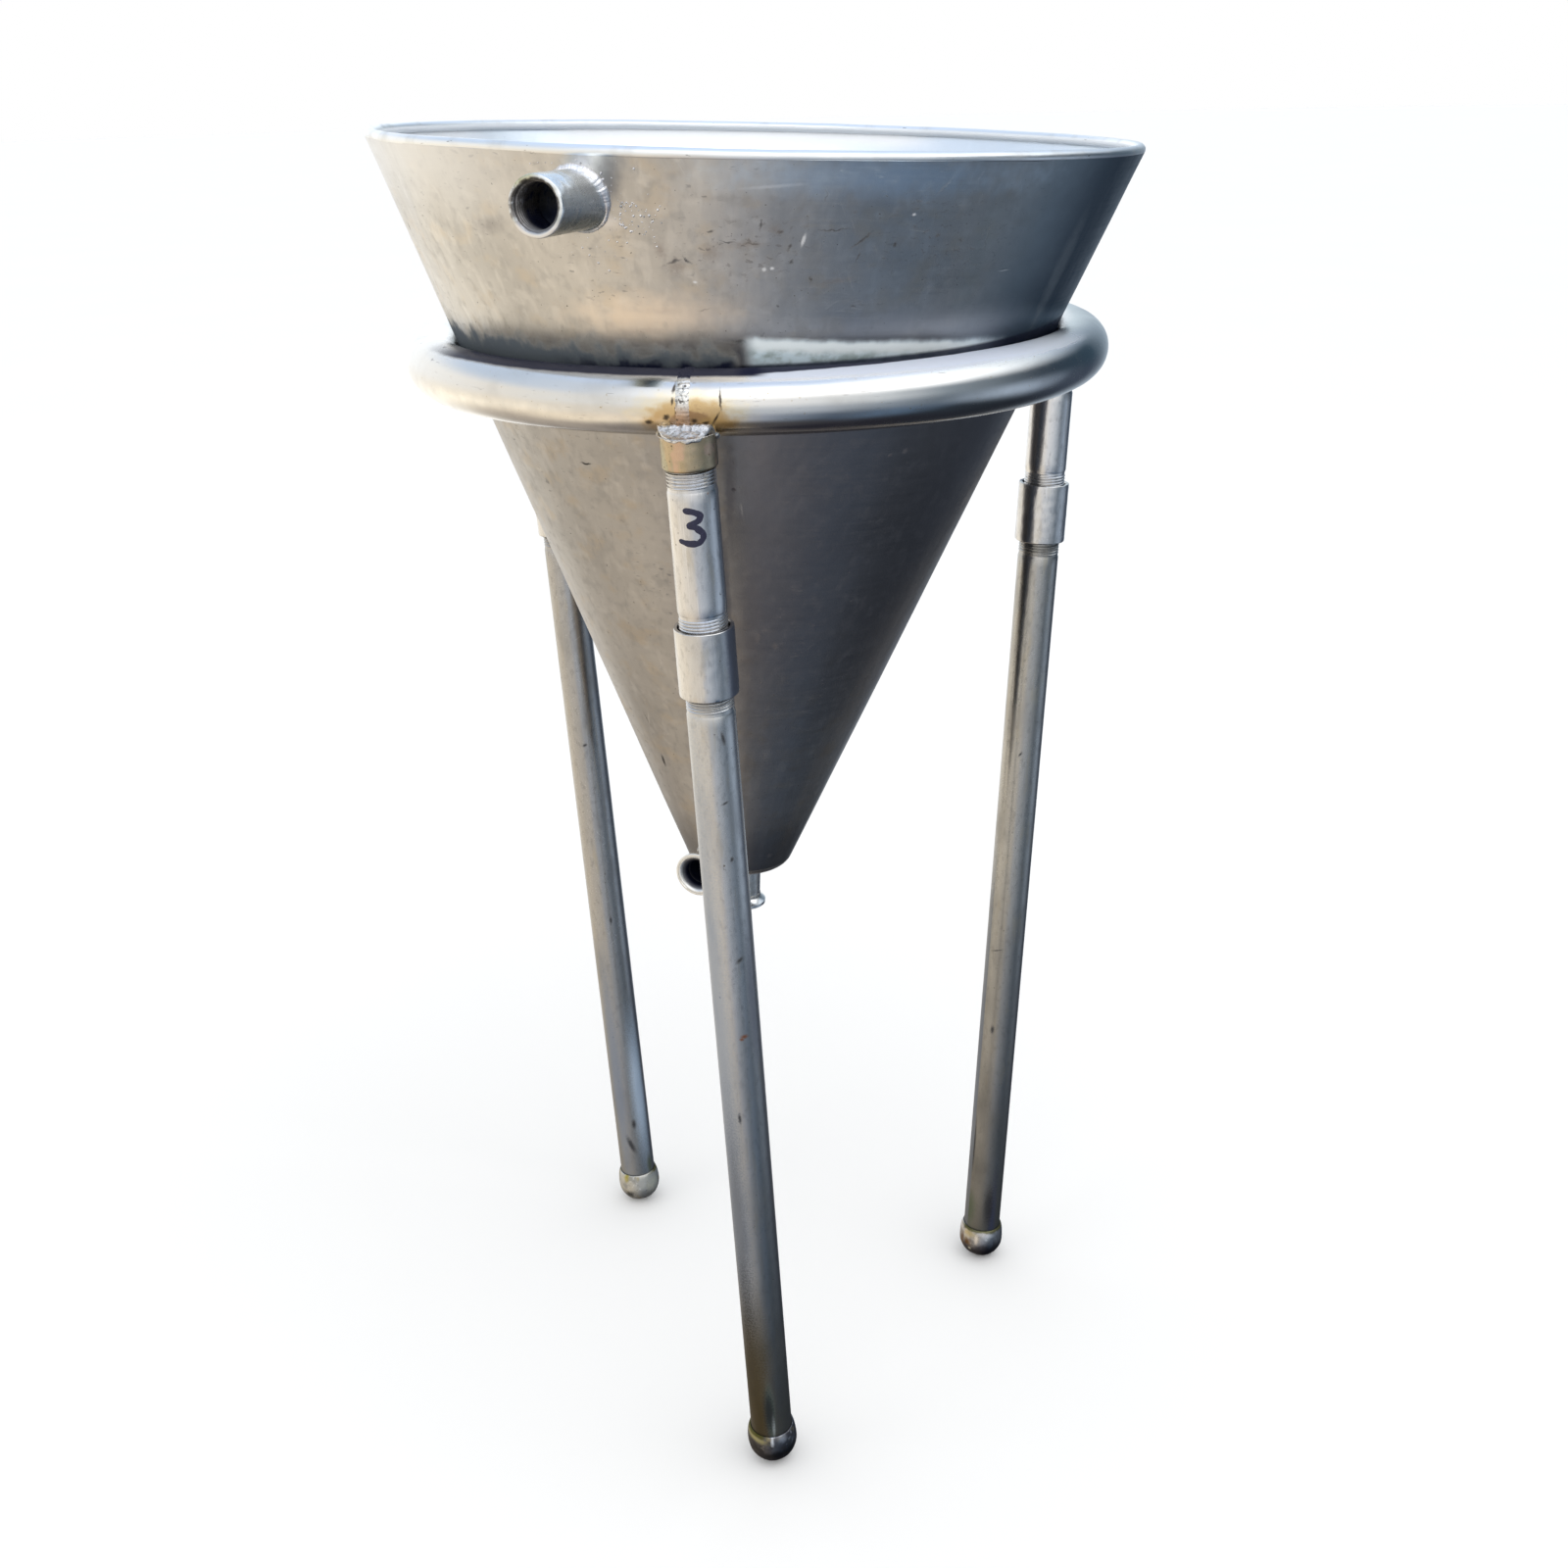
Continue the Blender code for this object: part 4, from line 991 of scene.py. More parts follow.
def tube_above(leg, radius, turn, low):
    """Height along the leg at which a line beside its axis runs into the ring's tube."""
    high = low + 0.03
    for _ in range(24):
        middle = (low + high) / 2
        inside = off_ring(leg @ Vector((radius * math.cos(turn), radius * math.sin(turn), middle))) < 0
        low, high = (low, middle) if inside else (middle, high)
    return low


def weld_heap(leg, top, seed):
    """Weld metal over the socket's open end, heaped against the tube and sunk a little into it."""
    rows = []
    for share in np.concatenate([np.linspace(0.02, 0.97, 26), [1.0, 1.015, 1.0]]):
        row = []
        for turn in np.linspace(0, math.tau, 120, endpoint=False):
            out = Vector((math.cos(turn), math.sin(turn), 0))
            lump = noise.noise(out * share * 4.3 + Vector((seed, 0, 0)))
            lump += 0.7 * noise.noise(out * share * 11 + Vector((0, seed, 0)))
            spot = leg @ (out * share * SOCKET + Vector((0, 0, top)))
            local = spot - ring_centre
            aside = Vector((local.x, local.y)).length - RING_RADIUS
            heap = 0.0068 * min(1, max(0, (0.0280 - aside) / 0.0090)) ** 1.5
            level = heap + 0.0007 * lump
            if aside < RING_TUBE - 0.0005:
                level = min(level, -math.sqrt(RING_TUBE ** 2 - aside ** 2) - local.z + 0.0015)
            row.append(out * share * SOCKET * 1.012 + Vector((0, 0, top + level)))
        rows.append(row)
    widest = rows[-2]
    for drop in (0.0010, 0.0021):
        rows.append([point - Vector((0, 0, drop * (1 + 1.2 * noise.noise(point * 190)))) for point in widest])
    rows.append([Vector((point.x * 0.985, point.y * 0.985, point.z - 0.0003)) for point in rows[-1]])
    heap = skin(np.array(rows), closed=False)
    whole = bmesh.new()
    whole.from_mesh(heap)
    bmesh.ops.holes_fill(whole, edges=whole.edges)
    bmesh.ops.recalc_face_normals(whole, faces=whole.faces)
    whole.to_mesh(heap)
    whole.free()
    return heap


socket_finish = fitting("tinted_socket", (0.50, 0.40, 0.26), 0.27, 0.45, 0.00005)
socket_finish.stain(socket_finish.band(socket_finish.noise(0.011, detail=2, shift=12), 0.50, 0.64),
                    (0.66, 0.44, 0.33), 0.6)
socket_finish.stain(socket_finish.band(socket_finish.noise(0.010, (1, 1, 3), 2, shift=19), 0.54, 0.64),
                    (0.40, 0.38, 0.27), 0.7)
socket_finish.stain(socket_finish.band(socket_finish.noise(0.0024, detail=2, shift=2), 0.68, 0.74),
                    (0.10, 0.07, 0.05), 0.8, 0.2)
level = socket_finish.sum("MULTIPLY_ADD", socket_finish.noise(0.006, detail=3), 0.0012,
                          socket_finish.add("SeparateXYZ", socket_finish.where).outputs[2])
socket_finish.stain(socket_finish.band(level, 0.8475, 0.8458), (0.07, 0.05, 0.03), 0.85, 0.2)
socket_finish = socket_finish.done()
saddle_weld = weld_metal("saddle_weld", (0.70, 0.69, 0.68), 0.38).done()
SOCKET_TOP = 0.8660
for number, side in enumerate(LEG_TOPS):
    leg, stretch = leg_of(side)
    low, top = SOCKET_LOW * stretch, SOCKET_TOP * stretch
    turns = np.linspace(0, math.tau, 96, endpoint=False)
    levels = [min(top, tube_above(leg, SOCKET, turn, low + 0.004)) for turn in turns]
    rows = []
    inside = [(SOCKET_BORE, 0.62), (SOCKET_BORE, 0.08), (0.0168, 0.0), (0.0176, 0.0), (0.0181, 0.03)]
    outside = [(SOCKET, s) for s in np.linspace(0.07, 0.97, 16)]
    for radius, share in inside + outside + [(SOCKET - 0.0004, 1), (SOCKET_BORE, 1)]:
        rows.append([(radius * math.cos(t), radius * math.sin(t), low + (levels[i] - low) * share)
                     for i, t in enumerate(turns)])
    corners = []
    for i, turn in enumerate(turns):
        out = Vector((math.cos(turn), math.sin(turn), 0))
        spot = leg @ (out * SOCKET + Vector((0, 0, levels[i])))
        local = spot - ring_centre
        centre = Vector((local.x, local.y, 0)).normalized() * RING_RADIUS
        share = 0.45 if levels[i] > top - 1e-5 else 1.0
        corners.append((spot, (local - centre).normalized() * share,
                        (leg.to_3x3() @ out).normalized() * share))
    socket = knocked(skin(np.array(rows)), 0.00015, 0.005)
    piece(f"{side}_socket", socket, socket_finish, "tinted_steel", f"{side}_leg_socket", place=leg)
    piece(f"{side}_saddle_weld", bead(corners, 0.0021, 0.0024, 480), saddle_weld, "tinted_steel")
    piece(f"{side}_weld_heap", weld_heap(leg, top, 5.3 * number), saddle_weld, "tinted_steel",
          place=leg, sharp=60)


# The legs: 33.7 mm pipe, cut and threaded, joined by a screwed coupling. A short nipple
# runs from the coupling up into the socket and a long pipe down to the foot. The pipe is
# dull and handled, with drawing lines, brown stains and more dirt towards the floor.

COUPLING, COUPLING_LENGTH, COUPLING_EXTRA = 0.0205, 0.045, 0.0034
PIPE_END, NIPPLE_PLAIN, NIPPLE_IN = 0.0123, 0.0137, 0.0162
PITCH = 0.00231


def plain_pipe(low, high):
    rows = int((high - low) / 0.006)
    outer = [(PIPE - 0.0005, low)] + [(PIPE, h) for h in np.linspace(low + 0.0016, high - 0.0016, rows)]
    outer += [(PIPE - 0.0005, high)]
    inner = [(PIPE_BORE, h) for h in np.linspace(high, low, 4)]
    return lathe(outer + inner, 72)


def threaded_end(low, high, plain):
    """A threaded stretch: its core runs out into the plain pipe at one end, and a ridge goes round it."""
    core = [(THREAD - 0.0005, low), (THREAD - 0.0005, high)]
    core[0 if plain == low else 1] = (PIPE - 0.0005, plain)
    core.insert(1, (THREAD - 0.0005, plain + (0.0045 if plain == low else -0.0045)))
    core = lathe(core + [(PIPE_BORE, high), (PIPE_BORE, low)], 72)
    return joined(core, ridge(low + 0.0008, high - 0.0008, THREAD + 0.0003, 0.00085, PITCH))


def drawn_pipe(name, colour, roughness, dirt_top, dirt_low, places=(), grime=(0.13, 0.125, 0.115),
               shade_within=(0.0160, 0.0156, 0.16), ragged=0.7):
    """Pipe with lines along it, stains, rust specks, dirt towards one end, and painted shade inside a radius.
    """
    made = Finish(name, colour, roughness)
    made.stain(made.band(made.noise(0.016, (1, 1, 3), 5), 0.44, 0.70),
               tuple(c * 0.76 for c in colour), 0.55, 0.08)
    made.stain(made.band(made.noise(0.007, (1, 1, 5), 4, shift=3), 0.54, 0.74),
               (0.44, 0.38, 0.27), 0.35, 0.05)
    made.stain(made.band(made.noise(0.0035, (1, 1, 2), 5, shift=18), 0.52, 0.70),
               tuple(c * 0.70 for c in colour), 0.6)
    lines = made.noise(0.0011, (1, 1, 45), 2, shift=1)
    made.stain(made.band(lines, 0.58, 0.76), tuple(min(1, c * 1.2) for c in colour), 0.45)
    made.shape(lines, 0.000018)
    for turn, shift in ((0.9, 4.0), (-0.6, 11.0)):
        slanted = made.add("Mapping", made.where, (0, 0, 0), (turn, turn * 0.6, 0))
        cut = made.band(made.noise(0.0008, (1, 1, 26), 1, slanted.outputs[0], shift), 0.70, 0.79)
        made.stain(cut, (0.80, 0.79, 0.77), 0.5, 0.06)
    made.stain(made.band(made.noise(0.0026, detail=3, shift=6), 0.70, 0.76), (0.06, 0.05, 0.04), 0.7, 0.3)
    made.stain(made.band(made.noise(0.0050, detail=3, shift=8), 0.75, 0.80), (0.30, 0.12, 0.04), 0.8, 0.35)
    level = made.add("SeparateXYZ", made.where).outputs[2]
    height = made.sum("MULTIPLY_ADD", made.noise(0.03, (1, 1, 2), 5, shift=15), -0.20, level)
    made.stain(made.band(height, dirt_top, dirt_low), grime, 0.80, 0.12)
    made.stain(made.band(height, dirt_top - 0.36, dirt_low - 0.02), (0.075, 0.072, 0.055), 0.70, 0.12)
    made.shape(made.noise(0.006, (1, 1, 2), 4, shift=9), 0.00014)
    for tint, spots in places:
        made.stain(made.marks(made.unrolled(PIPE), spots, PIPE, ragged), tint, 0.85, 0.25)
    reach = made.from_axis()[0]
    # Painted shade inside a radius: the thread roots and bore of a pipe, the inner edge of a coupling.
    made.stain(made.band(reach, *shade_within[:2]), (shade_within[2],) * 3, 1.0, 0.2)
    return made.done()


DARK, RUST, OLIVE, BLUE_REFLECTION = (0.05, 0.05, 0.055), (0.28, 0.085, 0.025), (0.085, 0.060, 0.022), (0.38, 0.43, 0.52)
PALE, GREEN, NAVY = (0.75, 0.85, 0.95), (0.13, 0.15, 0.10), (0.06, 0.07, 0.12)
LEG_MARKS = {
    # Painted reflection: the two blue-grey bands down the front leg.
    "front": [(BLUE_REFLECTION, [(-98, 0.400, 0.026, 0.640, 0), (-92, 0.250, 0.024, 0.260, 0)]),
              ((0.26, 0.27, 0.29), [(-92, 0.240, 0.024, 0.260, 0)]),
              ((0.30, 0.31, 0.35), [(0, 0.450, 0.008, 0.120, 0)]),
              (OLIVE, [(-92, 0.090, 0.034, 0.220, 0), (-84, 0.055, 0.026, 0.130, 0)]),
              ((0.16, 0.22, 0.20), [(-45, 0.060, 0.008, 0.060, 0)]),
              ((0.62, 0.66, 0.66), [(-40, 0.046, 0.003, 0.024, 0)]),
              (DARK, [(-26, 0.4864, 0.008, 0.004, 35), (-25, 0.568, 0.005, 0.003, 70),
                      (-30, 0.612, 0.006, 0.002, 20),
                      (-22, 0.660, 0.003, 0.012, 10), (-60, 0.350, 0.003, 0.010, 0),
                      (-48, 0.060, 0.010, 0.050, 0)]),
              (RUST, [(-30.8, 0.4219, 0.007, 0.004, 0), (-38, 0.4200, 0.004, 0.003, 0)])],
    # Painted shade: the tall blue-grey band on the right leg.
    "right": [((0.20, 0.22, 0.26), [(84, 0.220, 0.026, 0.460, 0)]),
              (GREEN, [(92, 0.055, 0.016, 0.040, 0)]),
              (NAVY, [(176, 0.030, 0.010, 0.140, 0)]),
              (DARK, [(118, 0.330, 0.012, 0.0012, 20), (140, 0.520, 0.006, 0.002, 60),
                      (125, 0.250, 0.004, 0.009, 0),
                      (92, 0.125, 0.004, 0.060, 0), (160, 0.060, 0.010, 0.050, 0)])],
    # Painted reflection: the tall blue-grey band on the back leg. The pale band after it is a painted
    # highlight.
    "back": [((0.26, 0.30, 0.38), [(-12, 0.150, 0.018, 0.300, 0)]),
             (PALE, [(62, 0.130, 0.018, 0.180, 0)]),
             (GREEN, [(74, 0.042, 0.008, 0.026, 0)]),
             ((0.80, 0.74, 0.62), [(38, 0.024, 0.008, 0.018, 0)]),
             (DARK, [(20, 0.500, 0.005, 0.003, 30), (35, 0.320, 0.003, 0.008, 0),
                     (31, 0.094, 0.005, 0.012, 0),
                     (14, 0.070, 0.006, 0.022, 20), (82, 0.030, 0.004, 0.006, 0)])]}
# The right and back leg pipes are darker than the front one as painted shade.
LEG_TONES_AND_SHADE = {"front": (0.62, 0.61, 0.595), "right": (0.42, 0.41, 0.39), "back": (0.42, 0.41, 0.40)}
LEG_DIRT = {"front": (0.50, -0.06, (0.15, 0.15, 0.145)), "right": (0.46, -0.10, (0.13, 0.125, 0.12)),
            "back": (0.34, -0.22, (0.20, 0.20, 0.19))}
nipple_finish = drawn_pipe("nipple_pipe", (0.70, 0.69, 0.685), 0.21, -1.0, -2.0)
# The coupling's tall dark band is a painted reflection.
coupling_finish = drawn_pipe("screwed_coupling", (0.66, 0.65, 0.64), 0.18, -1.0, -2.0, [
    ((0.09, 0.10, 0.14), [(25, 0.72, 0.0235, 0.400, 0)])], shade_within=(0.0180, 0.0175, 0.02), ragged=0.15)
for side in LEG_TOPS:
    leg, stretch = leg_of(side)
    middle, half = COUPLINGS[side] * stretch, COUPLING_LENGTH / 2
    low, high = middle - half - 0.0125, middle + half + 0.0135
    top = SOCKET_LOW * stretch
    nipple = joined(threaded_end(middle + 0.0002, high, high), plain_pipe(high, top - NIPPLE_PLAIN),
                    threaded_end(top - NIPPLE_PLAIN, top + NIPPLE_IN, top - NIPPLE_PLAIN))
    piece(f"{side}_short_pipe", nipple, nipple_finish, "zinc_pipe", f"{side}_nipple", place=leg)
    pipe = joined(plain_pipe(PIPE_END, low), threaded_end(low, middle - 0.0002, low))
    dirt_top, dirt_low, grime = LEG_DIRT[side]
    pipe_finish = drawn_pipe(f"{side}_leg_metal", LEG_TONES_AND_SHADE[side], 0.25, dirt_top, dirt_low,
                             LEG_MARKS[side], grime)
    piece(f"{side}_long_pipe", pipe, pipe_finish, "zinc_pipe", f"{side}_leg_pipe", place=leg)
    edge = [(0.0166, 0.0040), (0.0178, 0.0004), (0.0181, 0), (0.0201, 0), (0.0204, 0.0004)]
    base, crest = middle - half, middle + half + COUPLING_EXTRA
    around = [(COUPLING, h) for h in np.linspace(base + 0.002, crest - 0.002, 28)]
    outline = [(r, base + h) for r, h in edge] + around
    outline += [(r, crest - h) for r, h in edge[::-1]]
    sleeve = knocked(lathe(outline, 96), 0.00016, 0.006)
    piece(f"{side}_sleeve", sleeve, coupling_finish, "zinc_pipe", f"{side}_coupling", place=leg)


# The feet: round pipe caps, pushed over the pipe ends and worn flat where they stand. They
# are stained ochre and black, dented, and rubbed bright on their widest part.

CAP, CAP_MIDDLE, CAP_LIP, CAP_TOP = 0.0202, 0.0192, 0.0174, 0.0340


def cap_mesh(leg, seed):
    """A ball-shaped cap with dents, cut off by the floor."""
    crown = [(CAP_LIP + (CAP - CAP_LIP) * math.cos(t), CAP_MIDDLE + (CAP_TOP - CAP_MIDDLE) * math.sin(t))
             for t in np.linspace(math.pi / 2, 0, 18)]
    ball = [(max(CAP * math.cos(t), 1e-5), CAP_MIDDLE - CAP * math.sin(t))
            for t in np.linspace(0, math.pi / 2, 30)]
    seat = PIPE + 0.0003
    outline = [(1e-5, 0.012), (seat, 0.012), (seat, CAP_TOP - 0.0004)] + crown + ball[1:]
    mesh = lathe(outline, 96)
    mesh.flip_normals()
    down = leg.inverted()
    for vertex in mesh.vertices:
        reach = Vector((vertex.co.x, vertex.co.y)).length
        if reach > seat + 0.0002 or vertex.co.z < 0.0119:
            at = vertex.co / 0.011 + Vector((seed, 0, 0))
            out = (vertex.co - Vector((0, 0, CAP_MIDDLE))).normalized()
            vertex.co += out * (0.0004 * noise.noise(at) - 0.0005 * max(0, noise.noise(at * 0.7) - 0.25))
        world = leg @ vertex.co
        if world.z < 0:
            vertex.co = down @ Vector((world.x, world.y, 0))
    return mesh


def cap_metal(name, colour, roughness, soiled, underside_shade, stains):
    """Worn cap: black and ochre dirt, bright patches from rubbing, an olive line at its lip, its own stains,
    and painted shade over its lower part.
    """
    made = Finish(name, colour, roughness)
    made.stain(made.band(made.noise(0.012, detail=5), 0.44, 0.60), (0.07, 0.065, 0.07), soiled, 0.15)
    made.stain(made.band(made.noise(0.009, detail=3, shift=4), 0.58, 0.70), (0.34, 0.28, 0.14), 0.6, 0.1)
    made.stain(made.band(made.noise(0.0040, (2, 1, 1), 4, shift=2), 0.60, 0.72),
               (0.78, 0.78, 0.77), 0.55, -0.06)
    made.stain(made.band(made.noise(0.0018, detail=2, shift=8), 0.68, 0.74), (0.03, 0.03, 0.03), 0.7, 0.2)
    level = made.add("SeparateXYZ", made.where).outputs[2]
    lower = made.sum("MULTIPLY_ADD", made.noise(0.010, detail=3, shift=5), 0.012, level)
    # Painted shade: the lower part of the cap darkened, by an amount given for each cap.
    made.stain(made.band(lower, 0.027, 0.017), (0.035, 0.032, 0.038), underside_shade, 0.1)
    for tint, spots in stains:
        made.stain(made.marks(made.unrolled(CAP), spots, CAP, 0.9, 0.004), tint, 0.85, 0.05)
    uneven = made.sum("MULTIPLY_ADD", made.noise(0.006, detail=3), 0.004, level)
    left = made.band(made.add("SeparateXYZ", made.where).outputs[0], 0.012, 0.0)
    made.stain(made.times(left, made.band(uneven, CAP_TOP - 0.0012, CAP_TOP + 0.0008)),
               (0.09, 0.085, 0.02), 0.85, 0.2)
    made.shape(made.noise(0.0040, detail=4, shift=1), 0.00020)
    return made.done()


CAP_LOOKS = {
    "front": ((0.13, 0.13, 0.14), 0.30, 0.85, 0.9, [
        ((0.020, 0.018, 0.018), [(-98, 0.0225, 0.034, 0.020, -12), (-40, 0.0170, 0.040, 0.010, 0)]),
        ((0.34, 0.32, 0.16), [(-100, 0.0310, 0.030, 0.006, -8)]),
        ((0.08, 0.065, 0.02), [(-80, 0.0335, 0.012, 0.004, 0)]),
        # Painted highlights: the grey and the white spot high on the front cap.
        ((0.42, 0.43, 0.46), [(-20, 0.0305, 0.009, 0.007, 0)]),
        ((0.85, 0.87, 0.90), [(-47, 0.0300, 0.003, 0.008, 0)])]),
    "right": ((0.40, 0.39, 0.39), 0.22, 0.55, 0.95, [
        ((0.050, 0.045, 0.052), [(165, 0.0135, 0.046, 0.017, 0)]),
        ((0.10, 0.07, 0.05), [(84, 0.0185, 0.018, 0.018, 0)]),
        ((0.40, 0.33, 0.18), [(106, 0.0290, 0.018, 0.009, 0)]),
        ((0.10, 0.045, 0.01), [(104, 0.0195, 0.010, 0.008, 0)]),
        ((0.16, 0.10, 0.06), [(82, 0.0170, 0.012, 0.014, 0)]),
        ((0.70, 0.65, 0.60), [(131, 0.0245, 0.004, 0.011, 0)]),
        ((0.60, 0.60, 0.50), [(113, 0.0130, 0.0035, 0.0035, 0)]),
        # Painted highlight: the grey spot high on the right cap.
        ((0.66, 0.66, 0.68), [(168, 0.0290, 0.012, 0.006, 0)])]),
    "back": ((0.50, 0.49, 0.45), 0.48, 0.30, 0.35, [
        ((0.42, 0.35, 0.06), [(-14.9, 0.0320, 0.007, 0.012, 0)]),
        ((0.62, 0.60, 0.50), [(70, 0.0220, 0.020, 0.018, 0)]),
        ((0.05, 0.05, 0.05), [(-10, 0.0120, 0.016, 0.008, 25), (40, 0.0050, 0.005, 0.004, 0)])])}
for number, side in enumerate(LEG_TOPS):
    leg, _ = leg_of(side)
    finish = cap_metal(f"{side}_cap_metal", *CAP_LOOKS[side])
    piece(f"{side}_cap", cap_mesh(leg, 3.7 * number), finish, "worn_cap", f"{side}_foot_cap",
          place=leg, sharp=50)


# The hand-written 3 on the front nipple: a few quick strokes of a dark felt marker, which
# numbered the leg for putting the stand together.

STROKES = [(-71, 0.8214), (-48, 0.8203), (-31, 0.8177), (-36, 0.8142), (-61, 0.8110), (-44, 0.8098),
           (-28, 0.8052), (-30, 0.8018), (-41, 0.7990), (-62, 0.7990), (-87, 0.8010)]


def marker_line(places, width, radius):
    """A brushed line on the pipe: a thin lens that follows the stroke and rounds off at its ends."""
    angles, levels = np.array(places, float).T
    knots = np.arange(len(places))
    fine = np.linspace(0, knots[-1], 120)
    turns, heights = np.radians(np.interp(fine, knots, angles)), np.interp(fine, knots, levels)
    soften = np.ones(7) / 7
    turns[3:-3], heights[3:-3] = np.convolve(turns, soften, "valid"), np.convolve(heights, soften, "valid")
    spots = [Vector((radius * math.cos(t), radius * math.sin(t), h)) for t, h in zip(turns, heights)]
    rows = []
    for i, spot in enumerate(spots):
        ahead = (spots[min(i + 1, len(spots) - 1)] - spots[max(i - 1, 0)]).normalized()
        out = Vector((spot.x, spot.y, 0)).normalized()
        aside = out.cross(ahead).normalized()
        end = math.sqrt(max(0.02, 1 - max(0, 1 - min(i, len(spots) - 1 - i) / 5) ** 2))
        wide = width / 2 * end * (1 + 0.30 * noise.noise(spot * 340))
        rows.append([spot + aside * wide * math.cos(s) + out * 0.00012 * end * math.sin(s)
                     for s in np.linspace(0, math.tau, 12, endpoint=False)])
    line = bmesh.new()
    line.from_mesh(skin(np.array(rows), closed=False))
    bmesh.ops.holes_fill(line, edges=line.edges)
    bmesh.ops.recalc_face_normals(line, faces=line.faces)
    mesh = bpy.data.meshes.new("line")
    line.to_mesh(mesh)
    line.free()
    return mesh


ink = Finish("marker_ink", (0.010, 0.010, 0.034), 0.5, 0.0)
ink.stain(ink.band(ink.noise(0.0012, detail=4), 0.58, 0.74), (0.05, 0.05, 0.11), 0.7, 0.15)
front_leg, _ = leg_of("front")
piece("leg_number", marker_line(STROKES, 0.0042, PIPE), ink.done(), "zinc_pipe", place=front_leg)


# The room: a plain pale floor under soft even light, with two large dim lamps for a soft
# shadow. Bright steel shows what is round it, so the surroundings that it mirrors are warm at
# the left, dark blue-grey at the right, darkest straight down, and a white sky above.

floor_mesh = bpy.data.meshes.new("floor")
ground = bmesh.new()
bmesh.ops.create_circle(ground, cap_ends=True, segments=96, radius=40)
ground.to_mesh(floor_mesh)
ground.free()
floor = bpy.data.objects.new("floor", floor_mesh)
bpy.context.collection.objects.link(floor)
floor_finish = Finish("pale_floor", (0.86, 0.86, 0.855), 0.9, 0.0)
floor_finish.stain(floor_finish.noise(0.6, detail=3), (0.84, 0.84, 0.835))
floor_mesh.materials.append(floor_finish.done())
floor.visible_glossy = False


def lamp(name, place, aim, size, power, colour):
    light = bpy.data.lights.new(name, "AREA")
    light.shape = "RECTANGLE"
    light.size, light.size_y = size
    light.energy = power
    light.color = colour
    thing = bpy.data.objects.new(name, light)
    bpy.context.collection.objects.link(thing)
    thing.location = place
    thing.rotation_euler = (Vector(aim) - Vector(place)).to_track_quat("-Z", "Y").to_euler()
    thing.visible_glossy = False


lamp("overhead_lamp", (0.7, -0.9, 3.2), (0, 0, 0.6), (2.4, 1.8), 12, (1, 1, 1))
lamp("left_lamp", (-2.8, -1.2, 2.2), (0, 0, 0.6), (1.6, 1.6), 6, (1, 0.97, 0.93))

world = bpy.data.worlds.new("room")
bpy.context.scene.world = world
world.use_nodes = True
sky = world.node_tree


def room_node(kind, *inputs, **settings):
    node = sky.nodes.new("ShaderNode" + kind)
    for key, value in settings.items():
        setattr(node, key, value)
    for socket, value in zip(node.inputs, inputs):
        if isinstance(value, bpy.types.NodeSocket):
            sky.links.new(value, socket)
        else:
            socket.default_value = value
    return node


def blend_colours(share, one, other):
    node = room_node("Mix", share, data_type="RGBA")
    for socket, value in ((node.inputs[6], one), (node.inputs[7], other)):
        if isinstance(value, bpy.types.NodeSocket):
            sky.links.new(value, socket)
        else:
            socket.default_value = (*value, 1)
    return node.outputs[2]


def round_the_room(stops):
    """Colours by compass bearing: 0 lies behind the camera, -90 at the left and 90 at the right."""
    ramp = sky.nodes.new("ShaderNodeValToRGB")
    sky.links.new(bearing, ramp.inputs[0])
    bar = ramp.color_ramp.elements
    for number, (degrees, colour) in enumerate(stops):
        place = degrees / 360 + 0.5
        stop = bar[number] if number < 2 else bar.new(place)
        stop.position = place
        stop.color = (*colour, 1)
    return ramp.outputs[0]


facing = room_node("TexCoord").outputs["Generated"]
across, away, upward = room_node("SeparateXYZ", facing).outputs[:3]
around = room_node("Math", across, room_node("Math", away, -1.0, operation="MULTIPLY").outputs[0],
                   operation="ARCTAN2").outputs[0]
bearing = room_node("MapRange", around, -math.pi, math.pi, 0.0, 1.0).outputs[0]
straight_down = [(-180, (0.10, 0.09, 0.09)), (180, (0.10, 0.09, 0.09)), (-110, (0.26, 0.23, 0.21)),
                 (-60, (0.28, 0.25, 0.23)), (0, (0.09, 0.085, 0.09)), (40, (0.05, 0.05, 0.06)),
                 (80, (0.025, 0.025, 0.035)), (150, (0.025, 0.025, 0.035))]
steeply_down = [(-180, (0.22, 0.20, 0.19)), (180, (0.22, 0.20, 0.19)), (-120, (0.46, 0.40, 0.34)),
                (-80, (1.0, 0.87, 0.69)), (-50, (1.0, 0.87, 0.71)), (-25, (0.72, 0.66, 0.60)),
                (-4, (0.46, 0.49, 0.57)), (10, (0.24, 0.29, 0.37)), (30, (0.08, 0.11, 0.16)),
                (50, (0.13, 0.20, 0.31)), (80, (0.03, 0.04, 0.055)), (125, (0.02, 0.025, 0.035)),
                (150, (0.03, 0.035, 0.045))]
slightly_down = [(-180, (1.1, 1.1, 1.1)), (180, (1.1, 1.1, 1.1)), (-125, (1.26, 1.16, 0.98)),
                 (-90, (1.14, 1.03, 0.86)), (-55, (0.98, 0.91, 0.80)), (-20, (0.90, 0.84, 0.75)),
                 (-9, (0.66, 0.69, 0.74)), (8, (0.62, 0.67, 0.74)), (35, (0.36, 0.42, 0.50)),
                 (60, (0.16, 0.20, 0.25)), (88, (0.46, 0.56, 0.70)), (102, (0.38, 0.46, 0.58)),
                 (120, (0.08, 0.10, 0.14)), (140, (0.07, 0.09, 0.13)), (162, (0.45, 0.52, 0.60))]
